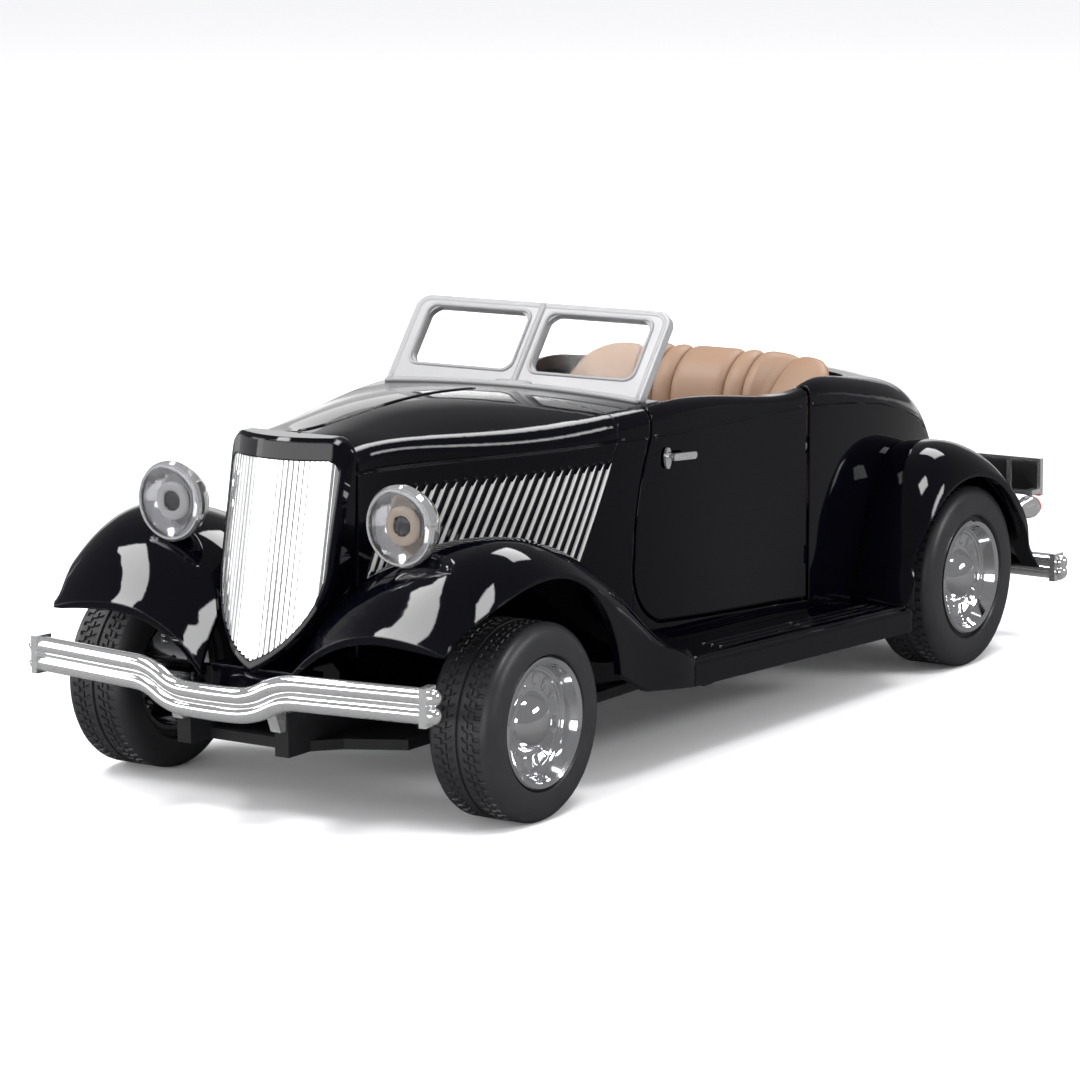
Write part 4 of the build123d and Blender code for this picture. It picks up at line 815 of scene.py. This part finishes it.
# %% Beads and corners round the panes
PANE_BEAD_RADIUS = 0.27 * MM
PANE_BEAD_CORNER = 1.5 * MM
PANE_BEAD_OFF = 0.62 * MM
FILL_RINGS = [
    # larger than the opening, radius of the corners, off the screen's middle plane, mm
    (0.30, 1.0, 0.55),
    (-0.15, 2.2, 0.55),
    (-0.15, 2.2, -0.55),
    (0.30, 1.0, -0.55),
]


def corner_fill(side):
    """A flat ring inside one opening that gives it its fuller round corners."""
    points = []
    for larger, corner, off in FILL_RINGS:
        points += pane_loop(side, larger * MM, larger * MM, corner * MM, off * MM, 8)
    return points, ring_faces(len(FILL_RINGS), len(points) // len(FILL_RINGS), closed=True)


pane_beads = []
for side in (1, -1):
    for off in (PANE_BEAD_OFF, -PANE_BEAD_OFF):
        loop = pane_loop(side, 0.1 * MM, 0.05 * MM, PANE_BEAD_CORNER, off, 6)
        pane_beads.append(bead(loop, PANE_BEAD_RADIUS, sides=8, closed=True))
make_piece("pane_beads", *joined(*pane_beads), "car", "silver_frame", silver)
make_piece("pane_corners", *joined(corner_fill(1), corner_fill(-1)), "car", "silver_frame", silver)
print("beads round the panes:", len(pane_beads))

# %% Centre post and foot
POST_RADIUS = 0.62 * MM
POST_OFF = 0.35 * MM
HINGE_RADIUS = 0.55 * MM
HINGE_OFF = 0.55 * MM
HINGE_HALF = 2.6 * MM
FOOT_RADIUS = 0.42 * MM
FOOT_OFF = 0.75 * MM
FOOT_LIFT = 0.25 * MM
post_line = [on_screen(0, up, POST_OFF) for up in spaced(FOOT_UP, rim_top, 24)]
hinge_up = FOOT_UP + 0.1 * MM
hinge_line = [on_screen(x, hinge_up, HINGE_OFF) for x in spaced(-HINGE_HALF, HINGE_HALF, 9)]
post = joined(bead(post_line, POST_RADIUS, sides=14), bead(hinge_line, HINGE_RADIUS, sides=14))
make_piece("windscreen_post", *post, "car", "silver_frame", silver)

cowl_skin = skin_of("cowl", "hood")
foot_end = screen_half - 0.5 * MM
foot_line = [
    on_skin(cowl_skin, on_screen(x, PANE_HALF_HIGH, FOOT_OFF), -up_slope, FOOT_LIFT)
    for x in spaced(-foot_end, foot_end, 60)
]
foot = bead(foot_line, FOOT_RADIUS, sides=12)
make_piece("windscreen_foot", *foot, "car", "silver_frame", silver)
print("foot runs", round(2 * foot_end * 1000, 1), "mm across the cowl")

# %% [markdown]
# ## Seat
# The seat is one tan moulding shaped like buttoned-down leather: a bench cushion and a back that
# wraps round both sides, with a plain middle panel and upright rolls beside it. It is made by
# sweeping one section, the back's face and rolled top, along a horseshoe line, and swelling the
# surface between the seams. Sculpting or a cloth simulation would make softer rolls, but the real
# ones are moulded: working along the line keeps every roll upright and equally wide.

# %% The horseshoe line and its seams
seat_low, seat_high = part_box("seat")
LAP_HALF = 14.0 * MM
LAP_REAR = seat_low.y + 25.4 * MM
LAP_CORNER = 4.0 * MM
ARM_FRONT = seat_low.y + 17.6 * MM
BACK_DEEP = seat_high.y - LAP_REAR - 0.15 * MM
ARM_WIDE = seat_high.x - LAP_HALF - 0.1 * MM
PANEL_HALF = 4.6 * MM
ROLL_PITCH = 3.3 * MM
corner_run = LAP_CORNER * math.pi / 2
straight_run = LAP_HALF - LAP_CORNER
arm_run = LAP_REAR - LAP_CORNER - ARM_FRONT
half_run = straight_run + corner_run + arm_run
seam_runs = [PANEL_HALF + ROLL_PITCH * index for index in range(6)]


def lap_place(run):
    """The lap line's point and outward direction, this far from the middle along the left half."""
    if run < straight_run:
        return Vector((run, LAP_REAR, 0)), Vector((0, 1, 0))
    if run < straight_run + corner_run:
        turn = (run - straight_run) / LAP_CORNER
        out = Vector((math.sin(turn), math.cos(turn), 0))
        return Vector((straight_run, LAP_REAR - LAP_CORNER, 0)) + out * LAP_CORNER, out
    ahead = run - straight_run - corner_run
    return Vector((LAP_HALF, LAP_REAR - LAP_CORNER - ahead, 0)), Vector((1, 0, 0))


print("lap line, mm each side:", round(half_run * 1000, 1))

# %% One section of the back
BACK_SECTION = [
    # outwards as a share of the depth, height above the seat's foot in mm
    (0.030, 11.0), (0.034, 14.0), (0.036, 17.0), (0.038, 20.0), (0.042, 22.5), (0.050, 24.5),
    (0.066, 26.3), (0.098, 27.9), (0.150, 29.2), (0.225, 30.3), (0.320, 31.3), (0.430, 32.15),
    (0.550, 32.85), (0.670, 33.3), (0.780, 33.5), (0.870, 33.45), (0.935, 33.1), (0.975, 32.4),
    (0.990, 31.2), (0.990, 28.0), (0.990, 20.0), (0.990, 11.0),
]
ARM_TOP = [
    # y above the seat's low y, crest height above the foot, mm
    (17.0, 21.0), (20.5, 23.0), (24.0, 27.2), (27.0, 30.4), (29.5, 32.0), (32.0, 33.1),
    (34.0, 33.5), (40.0, 33.5),
]
SECTION_FOOT = 11.0
SECTION_CREST = 33.5
LOWERED_FROM = 20.0
SWELL = 0.85 * MM
SWELL_FADE = 4.0
FACE_ROWS = 12
PLAIN_ROWS = 3
CORNER_EXTRA = 1.6 * MM


def quarter_round(near):
    """How far a quarter circle has dropped, 0 to 1, as near goes from 0 to 1."""
    return 1 - math.sqrt(max(0.0, 1 - near**2))


def swell_at(run):
    """How far the surface lies below the swollen height: nothing at a roll's middle, and the
    whole swell at a seam."""
    nearest = min(abs(run - seam) for seam in seam_runs)
    return SWELL * quarter_round(1 - min(nearest / (ROLL_PITCH / 2), 1.0))


def back_row(run):
    """One section across the back at this run."""
    place, out = lap_place(run)
    cornered = min(max((run - straight_run) / corner_run, 0.0), 1.0)
    deep = BACK_DEEP + (ARM_WIDE - BACK_DEEP) * cornered
    if 0 < cornered < 1:
        deep += CORNER_EXTRA * math.sin(math.pi * cornered)
    sink = swell_at(run)
    last = len(BACK_SECTION) - 1
    row = []
    for index, (share, high) in enumerate(BACK_SECTION):
        at = place + out * (deep * share)
        crest = SECTION_CREST
        if cornered > 0:
            crest = between(ARM_TOP, (at.y - seat_low.y) * 1000)
        raised = min(max((high - LOWERED_FROM) / (SECTION_CREST - LOWERED_FROM), 0.0), 1.0)
        z = seat_low.z + (high - (SECTION_CREST - crest) * raised) * MM
        before = BACK_SECTION[max(index - 1, 0)]
        after = BACK_SECTION[min(index + 1, last)]
        outwards, upwards = (after[0] - before[0]) * deep * 1000, after[1] - before[1]
        tangent = Vector((outwards, upwards)).normalized()
        normal = Vector((-tangent.y, tangent.x))
        give = sink
        if index < FACE_ROWS:
            give = sink * min(max((high - SECTION_FOOT) / SWELL_FADE, 0.0), 1.0)
        elif index > last - PLAIN_ROWS:
            give = 0.0
        sunk = at - out * (normal.x * give) - Vector((0, 0, normal.y * give))
        row.append(sunk + Vector((0, 0, z)))
    return row


print("points in a section:", len(back_row(0)))

# %% The swept back
ROLL_SHARES = (0, 0.03, 0.08, 0.16, 0.27, 0.4, 0.5, 0.6, 0.73, 0.84, 0.92, 0.97)
ARM_END = [
    # further forward in mm, share of the arm's section
    (0.25, 0.97),
    (0.45, 0.90),
    (0.55, 0.80),
]
marks = [0.0] + seam_runs
runs = [
    low_mark + (high_mark - low_mark) * share
    for low_mark, high_mark in zip(marks, marks[1:])
    for share in ROLL_SHARES
]
left_rows = [back_row(run) for run in runs if run < half_run] + [back_row(half_run)]
arm_row = left_rows[-1]
arm_middle = sum(arm_row, Vector()) / len(arm_row)
for ahead, size in ARM_END:
    step_forward = Vector((0, ahead * MM, 0))
    left_rows.append([arm_middle + (at - arm_middle) * size - step_forward for at in arm_row])
right_rows = [[other_side(point) for point in row] for row in left_rows]
rows = list(reversed(right_rows[1:])) + left_rows
back_shape = ([point for row in rows for point in row], ring_faces(len(rows), len(rows[0])))
print("seat rolls:", 2 * (len(seam_runs) - 1))

# %% The cushion's height
CUSHION_HALF = 20.2 * MM
CUSHION_FRONT = seat_low.y + 0.25 * MM
CUSHION_REAR = LAP_REAR + 1.0 * MM
CUSHION_TOP = seat_low.z + 13.2 * MM
CUSHION_FOOT = seat_low.z + 0.3 * MM
CUSHION_SEAMS = [PANEL_HALF + ROLL_PITCH * 1.6 * index for index in range(4)]
CUSHION_SWELL = 0.7 * MM
SWELL_REACH = ROLL_PITCH * 0.7
FRONT_REACH, FRONT_DROP = 3.0 * MM, 3.0 * MM
EDGE_REACH, EDGE_DROP = 2.0 * MM, 1.5 * MM


def cushion_height(x, y):
    """A crowned top whose seams run front to rear, rolled over at the front and the sides."""
    nearest = min(abs(abs(x) - seam) for seam in CUSHION_SEAMS)
    sink = CUSHION_SWELL * quarter_round(1 - min(nearest / SWELL_REACH, 1.0))
    front = max(0.0, 1 - (y - CUSHION_FRONT) / FRONT_REACH)
    edge = max(0.0, 1 - (CUSHION_HALF - abs(x)) / EDGE_REACH)
    drop = FRONT_DROP * quarter_round(front) + EDGE_DROP * quarter_round(edge)
    return CUSHION_TOP - sink - drop


print("cushion seams a side:", len(CUSHION_SEAMS))

# %% The cushion
# The rows lie closer together near the front, where the cushion rolls over.
xs = [round(x, 6) for x in spaced(-CUSHION_HALF, CUSHION_HALF, 121)]
ys = [CUSHION_FRONT + (CUSHION_REAR - CUSHION_FRONT) * share**1.6 for share in spaced(0, 1, 41)]
points = [Vector((x, y, cushion_height(x, y))) for y in ys for x in xs]
faces = []
count = len(xs)
for row in range(len(ys) - 1):
    for step in range(count - 1):
        a = row * count + step
        faces.append((a, a + 1, a + 1 + count, a + count))
rim = list(range(count)) + [row * count + count - 1 for row in range(1, len(ys))]
rim += [(len(ys) - 1) * count + step for step in range(count - 2, -1, -1)]
rim += [row * count for row in range(len(ys) - 2, 0, -1)]
base = len(points)
points += [Vector((points[corner].x, points[corner].y, CUSHION_FOOT)) for corner in rim]
for step in range(len(rim)):
    beside = (step + 1) % len(rim)
    faces.append((rim[step], rim[beside], base + beside, base + step))
faces.append([base + step for step in range(len(rim))])
seat_shape = joined(back_shape, (points, faces))
seat_piece = make_piece("pleated_seat", *seat_shape, "car", "seat_tan", tan, crisp=60)
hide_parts("seat")
print("seat points:", len(seat_piece.data.vertices))

# %% [markdown]
# ## Tyres
# Each tyre is one piece of soft black vinyl: smooth round-shouldered walls and a tread of small
# blocks with grooves between them. Displacement would need far more faces for edges as sharp. So a
# ring of sections is turned round the axle. In the middle rows a point is shifted further round
# the more it lies from the middle, so the cuts lean there.

# %% Half of a tyre's section
TREAD_HALF = 3.55 * MM
TREAD_COLUMNS = [
    # across from the middle as a share of the tread's half width, how deep the groove runs there
    (0.0, 1.0), (0.05, 1.0), (0.07, 0.0), (0.20, 0.0), (0.24, 0.0), (0.42, 0.0), (0.44, 0.75),
    (0.49, 0.75), (0.51, 0.0), (0.66, 0.0), (0.68, 0.5), (0.72, 0.5), (0.74, 0.0), (0.93, 0.0),
]
SHOULDER_TURNS = (0, 12, 26, 42, 58, 74, 90)
SHOULDER_DROP = 2.1 * MM
WALL = [
    # across from the middle, down from the tread, mm, on a tyre of the size named below
    (5.08, 3.0), (5.02, 3.7), (4.94, 4.02), (4.78, 4.16), (4.45, 4.24), (4.12, 4.32), (4.12, 5.0),
]
WALL_HALF_WIDE = 5.1 * MM
WALL_RADIUS = 13.1 * MM


def tyre_section(half_wide, radius):
    """Half of the section, from the tread's middle out over the shoulder to the bead, in metres.
    Each row is across, out from the axle, and the groove's depth as a share."""
    section = [(share * TREAD_HALF, radius, deep) for share, deep in TREAD_COLUMNS]
    for degrees in SHOULDER_TURNS:
        swing = math.radians(degrees)
        across = TREAD_HALF + (half_wide - TREAD_HALF) * math.sin(swing)
        section.append((across, radius - SHOULDER_DROP * (1 - math.cos(swing)), 0.0))
    wider, taller = half_wide / WALL_HALF_WIDE, radius / WALL_RADIUS
    section += [(across * MM * wider, radius - down * MM * taller, 0.0) for across, down in WALL]
    return section


print("points in half a section:", len(tyre_section(WALL_HALF_WIDE, WALL_RADIUS)))

# %% Tread
GROOVE_DEEP = 0.30 * MM
CUT_DEEP = 0.26 * MM
TYRE_CUTS = 58
CUT_STEPS = [
    # how far round from one cut to the next, how deep the cut is there
    (0.0, 0.0), (0.56, 0.0), (0.62, 1.0), (0.94, 1.0),
]
CUTS_REACH = 0.95
RIB_FROM, RIB_TO = 0.06, 0.22
RIGHT_LEAN = 1.35


def cut_lean(share):
    """How far round a cut has moved, in cuts, at this share of the tread's half width: it leans in
    the middle rows and stands square in the outer one."""
    if share < 0.46:
        return 1.1 * share
    if share < 0.7:
        return 0.5 + 0.5 * (share - 0.46)
    return 0.22


def tyre_shape(node):
    """A whole tyre over one packed tyre, turned round its axle."""
    low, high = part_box(node)
    centre = (low + high) / 2
    radius = (high.z - low.z) / 2
    half = tyre_section((high.x - low.x) / 2, radius)
    section = [(-across, out, groove) for across, out, groove in reversed(half[1:])] + half
    points = []
    for cut in range(TYRE_CUTS):
        for on, cut_deep in CUT_STEPS:
            for across, out, groove in section:
                share = abs(across) / TREAD_HALF
                lean = cut_lean(share) * (1 if across >= 0 else RIGHT_LEAN)
                angle = 2 * math.pi * (cut + on + lean) / TYRE_CUTS
                is_cut = share <= CUTS_REACH and not RIB_FROM < share < RIB_TO
                r = out - max(groove * GROOVE_DEEP, cut_deep * CUT_DEEP if is_cut else 0.0)
                points.append(centre + Vector((across, r * math.cos(angle), r * math.sin(angle))))
    return points, ring_faces(TYRE_CUTS * len(CUT_STEPS), len(section), closed=True)


for end in ("front", "rear"):
    for side in ("left", "right"):
        node = f"tyre_{end}_{side}"
        shape = tyre_shape(node)
        tyre_piece = make_piece(f"{node}_tread", *shape, f"{end}_wheels", "tyre", rubber, crisp=32)
        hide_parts(node)
print("tyre faces each:", len(tyre_piece.data.polygons))

# %% [markdown]
# ## Wheel discs
# Inside each plated rim sits a dished disc: a big smooth dome over the hub, a ring of narrow slots
# pressed round it, and two steps out to the barrel. Slots cut with a boolean would leave sharp
# edges that plating never has. So the disc is a section turned round the axle, and the slots are
# pushed in where its rings cross them.

# %% Discs and domes
DISC = [
    # radius, depth behind the rim's outer face, mm
    (0.05, 0.22), (0.8, 0.26), (1.6, 0.42), (2.4, 0.76), (3.0, 1.22), (3.5, 1.78), (3.85, 2.35),
    (4.0, 2.62), (4.25, 2.66), (4.45, 2.58), (4.6, 2.60), (4.75, 2.62), (4.9, 2.62), (5.3, 2.62),
    (5.8, 2.60), (6.2, 2.56), (6.35, 2.54), (6.5, 2.50), (6.6, 2.30), (6.75, 2.22), (6.95, 2.20),
    (7.05, 2.02), (7.2, 1.96), (7.3, 1.95), (7.3, 2.75), (4.0, 2.75),
]
SLOT_COUNT = 14
STEPS_PER_SLOT = 14
SLOT_INNER, SLOT_OUTER = 4.8, 6.3
SLOT_EDGE = 0.48
SLOT_SLOPE = 0.15
SLOT_DEEP = 0.126


def disc_shape(node):
    """The dished disc of one left-hand wheel, turned round its axle."""
    low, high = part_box(node)
    centre = (low + high) / 2
    hub = Vector((high.x, centre.y, centre.z))
    sides = SLOT_COUNT * STEPS_PER_SLOT
    points = []
    for radius, depth in DISC:
        for step in range(sides):
            turn = 2 * math.pi * step / sides
            slots_off = abs((step / sides * SLOT_COUNT + 0.5) % 1 - 0.5)
            off_slot = slots_off * 2 * math.pi / SLOT_COUNT * radius
            pushed = 0.0
            if SLOT_INNER < radius < SLOT_OUTER:
                pushed = SLOT_DEEP * min(1.0, max(0.0, (SLOT_EDGE - off_slot) / SLOT_SLOPE))
            across, up = radius * math.cos(turn), radius * math.sin(turn)
            points.append(hub + mm(-depth - pushed, across, up))
    return points, ring_faces(len(DISC), sides)


for end in ("front", "rear"):
    shape = disc_shape(f"rim_{end}_left")
    bodies = (f"{end}_wheels", f"{end}_wheels")
    both_sides(f"wheel_disc_{end}", shape, "bright_trim", wheel_plating, bodies)
print("wheel discs with", SLOT_COUNT, "slots each")

# %% [markdown]
# ## Lamps
# Each headlamp is a plated bowl behind a pressed clear lens. Fine upright flutes in the lens break
# up what lies behind it: a pale ring round a dark bulb. A bump in the glass would bend the light
# much the same, but is lost where the lens is looked at from the side. So the lens is a disc of
# points in rings, domed forwards, with the flutes added to its depth.

# %% Lens shape
LENS_SIDES, LENS_RINGS = 96, 26
LENS_DOME = 0.62
LENS_THICK = 0.45
FLUTE_DEEP = 0.045
FLUTE_PITCH = 0.62
FLUTE_FADE = 0.4
lens_low, lens_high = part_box("headlight_lenses")
LENS_RADIUS = (lens_high.z - lens_low.z) / 2
lamp_middle = Vector((lens_high.x - LENS_RADIUS, lens_low.y, (lens_high.z + lens_low.z) / 2))


def lens_shape(middle):
    """A domed disc with upright flutes on its front."""
    radius = LENS_RADIUS * 1000
    points, faces = [middle.copy()], []
    for ring in range(1, LENS_RINGS + 1):
        r = radius * ring / LENS_RINGS
        for step in range(LENS_SIDES):
            turn = 2 * math.pi * step / LENS_SIDES
            x, z = r * math.cos(turn), r * math.sin(turn)
            calm = min(1.0, (radius - r) / FLUTE_FADE)
            flute = FLUTE_DEEP * calm * (0.5 - 0.5 * math.cos(2 * math.pi * x / FLUTE_PITCH))
            points.append(middle + mm(x, LENS_DOME * (r / radius) ** 2 + flute, z))
    edge = 1 + (LENS_RINGS - 1) * LENS_SIDES
    base = len(points)
    points += [points[edge + step] + mm(0, LENS_THICK, 0) for step in range(LENS_SIDES)]
    for step in range(LENS_SIDES):
        faces.append((0, 1 + step, 1 + (step + 1) % LENS_SIDES))
    for here in range(1, base, LENS_SIDES):
        there = here + LENS_SIDES
        for step in range(LENS_SIDES):
            beside = (step + 1) % LENS_SIDES
            faces.append((here + step, here + beside, there + beside, there + step))
    faces.append([base + step for step in range(LENS_SIDES)])
    return points, faces


left_lens = lens_shape(lamp_middle)
lenses = joined(left_lens, mirrored(left_lens))
lens_piece = make_piece("fluted_lenses", *lenses, "car", "lamp_lens", lens_glass, crisp=50)
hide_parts("headlight_lenses")
print("lens radius, mm:", round(LENS_RADIUS * 1000, 2))

# %% Rings and bulbs behind the lenses
LAMP_SIDES = 64
RING = [
    # radius, depth behind the lens's front, mm
    (1.35, 1.75), (1.35, 1.42), (1.50, 1.30), (2.30, 1.30), (2.50, 1.45), (2.50, 1.85),
]
BULB = [
    # radius, depth behind the lens's front, mm
    (1.32, 2.4), (1.32, 1.62), (1.1, 1.5), (0.6, 1.4), (0.1, 1.38),
]


def turned(profile, middle):
    """A profile of (radius, depth to the rear) in mm turned round a line along the car."""
    points = []
    for radius, depth in profile:
        for step in range(LAMP_SIDES):
            turn = 2 * math.pi * step / LAMP_SIDES
            points.append(middle + mm(radius * math.cos(turn), depth, radius * math.sin(turn)))
    return points, ring_faces(len(profile), LAMP_SIDES)


# The rings are alike, but the left one is tan and the right one grey: painted reflections, one for
# each lamp.
left_ring = turned(RING, lamp_middle)
make_piece("lamp_ring_left", *left_ring, "car", "seat_tan", lamp_ring_tan_painted_reflection, crisp=50)
make_piece("lamp_ring_right", *mirrored(left_ring), "car", "seat_tan", lamp_ring_grey_painted_reflection, crisp=50)
both_sides("lamp_bulb", turned(BULB, lamp_middle), "cabin_black", smoked)
print("ring and bulb points a side:", (len(RING) + len(BULB)) * LAMP_SIDES)

# %% [markdown]
# ## Dashboard dials and plate panels
# The dials are black faces with white marks and a red needle, set in the plated rims that the
# packed dashboard carries. The plate frame at the rear holds blank black panels: two on its front
# side and one on its rear. Marks could
# be a picture on each dial, but thin raised bars stay sharp from close by and need no picture.

# %% One dial
DIALS = [
    # x, z and radius in mm, and the needle's angle
    (13.4, 43.2, 1.7, 210),
    (8.4, 43.2, 1.7, 140),
    (3.4, 43.0, 1.2, 100),
    (-3.4, 43.0, 1.2, 80),
]
BEHIND_DASH = 6
DIAL_LIFT = 0.03 * MM
DIAL_SHARE, DIAL_SIDES, DIAL_THICK = 0.86, 40, 0.06
MARK_COUNT, FIRST_MARK, MARK_STEP = 11, 225, 27
LONG_MARK, SHORT_MARK = (0.055, 0.58), (0.035, 0.66)
MARK_END, MARK_PROUD, MARK_THICK = 0.80, 0.085, 0.05
NEEDLE_SHARE, NEEDLE_PROUD, NEEDLE_RADIUS = 0.7, 0.12, 0.045 * MM
BAR_FACES = [
    (0, 1, 2, 3), (7, 6, 5, 4), (0, 4, 5, 1), (1, 5, 6, 2), (2, 6, 7, 3), (3, 7, 4, 0),
]
_, dash_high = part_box("dashboard")
dash_skin = skin_of("dashboard")


def dial_mark(centre, radius, step):
    """One raised bar of a dial, long or short by turns."""
    turn = math.radians(FIRST_MARK - MARK_STEP * step)
    out = Vector((math.cos(turn), 0, math.sin(turn)))
    side = Vector((-out.z, 0, out.x))
    half, inner = SHORT_MARK if step % 2 else LONG_MARK
    start, end = radius * inner, radius * MARK_END
    corners = ((start, -half), (end, -half), (end, half), (start, half))
    proud = mm(0, MARK_PROUD, 0)
    front = [centre + out * a * MM + side * b * MM + proud for a, b in corners]
    return front + [point - mm(0, MARK_THICK, 0) for point in front], BAR_FACES


def dial_parts(x, z, radius, angle):
    """A dial's face disc, its marks and its needle, all facing the rear."""
    behind = mm(x, dash_high.y * 1000 + BEHIND_DASH, z)
    centre = on_skin(dash_skin, behind, (0, -1, 0), DIAL_LIFT)
    size = radius * DIAL_SHARE
    turns = spaced(0, 2 * math.pi, DIAL_SIDES + 1)[:-1]
    disc = [centre + mm(size * math.cos(turn), 0, size * math.sin(turn)) for turn in turns]
    disc += [point + mm(0, DIAL_THICK, 0) for point in disc]
    marks = [dial_mark(centre, radius, step) for step in range(MARK_COUNT)]
    turn = math.radians(angle)
    reach = radius * NEEDLE_SHARE
    tip = centre + mm(reach * math.cos(turn), NEEDLE_PROUD, reach * math.sin(turn))
    needle = bead([centre + mm(0, NEEDLE_PROUD, 0), tip], NEEDLE_RADIUS, sides=8)
    return (disc, ring_faces(2, DIAL_SIDES)), joined(*marks), needle


print("marks on each dial:", MARK_COUNT)

# %% Dials
dial_faces, dial_marks, dial_needles = zip(*[dial_parts(*row) for row in DIALS])
make_piece("dial_faces", *joined(*dial_faces), "car", "cabin_black", black_plastic, crisp=40)
make_piece("dial_marks", *joined(*dial_marks), "car", "bright_trim", dial_white, crisp=40)
make_piece("dial_needles", *joined(*dial_needles), "car", "red_lens", red, crisp=40)
print("dials:", len(DIALS))

# %% Blank panels in the plate frame
plate_low, plate_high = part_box("plate_frame")
PLATE_TOP = plate_high.z - 0.75 * MM
PLATE_FOOT = plate_high.z - 5.25 * MM
PANEL_CORNER = 0.5 * MM
PANEL_RINGS = [
    # in from the panel's edge, proud of the frame's web, mm
    (0.0, 0.0),
    (0.0, 0.10),
    (0.18, 0.20),
]


def panel(low_x, high_x, face_y, way):
    """A thin cushion-edged black panel facing front (way -1) or rear (way 1)."""
    points = []
    for inset, proud in PANEL_RINGS:
        y = face_y + way * proud * MM
        left, right = low_x + inset * MM + PANEL_CORNER, high_x - inset * MM - PANEL_CORNER
        foot, top = PLATE_FOOT + inset * MM + PANEL_CORNER, PLATE_TOP - inset * MM - PANEL_CORNER
        corners = ((right, top, 0), (left, top, 90), (left, foot, 180), (right, foot, 270))
        for x, z, start in corners:
            for step in range(5):
                turn = math.radians(start + 22.5 * step)
                across, up = PANEL_CORNER * math.cos(turn), PANEL_CORNER * math.sin(turn)
                points.append(Vector((x + across, y, z + up)))
    return points, ring_faces(len(PANEL_RINGS), len(points) // len(PANEL_RINGS))


plate_mid_x = (plate_low.x + plate_high.x) / 2
web_front = plate_high.y - 0.73 * MM
web_rear = plate_high.y - 0.27 * MM
panels = [
    panel(plate_low.x + 0.7 * MM, plate_mid_x - 0.45 * MM, web_front, -1),
    panel(plate_mid_x + 0.45 * MM, plate_high.x - 0.7 * MM, web_front, -1),
    panel(plate_low.x + 0.7 * MM, plate_high.x - 0.7 * MM, web_rear, 1),
]
make_piece("plate_panels", *joined(*panels), "car", "cabin_black", black_plastic, crisp=40)
print("plate panels:", len(panels))

low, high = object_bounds()
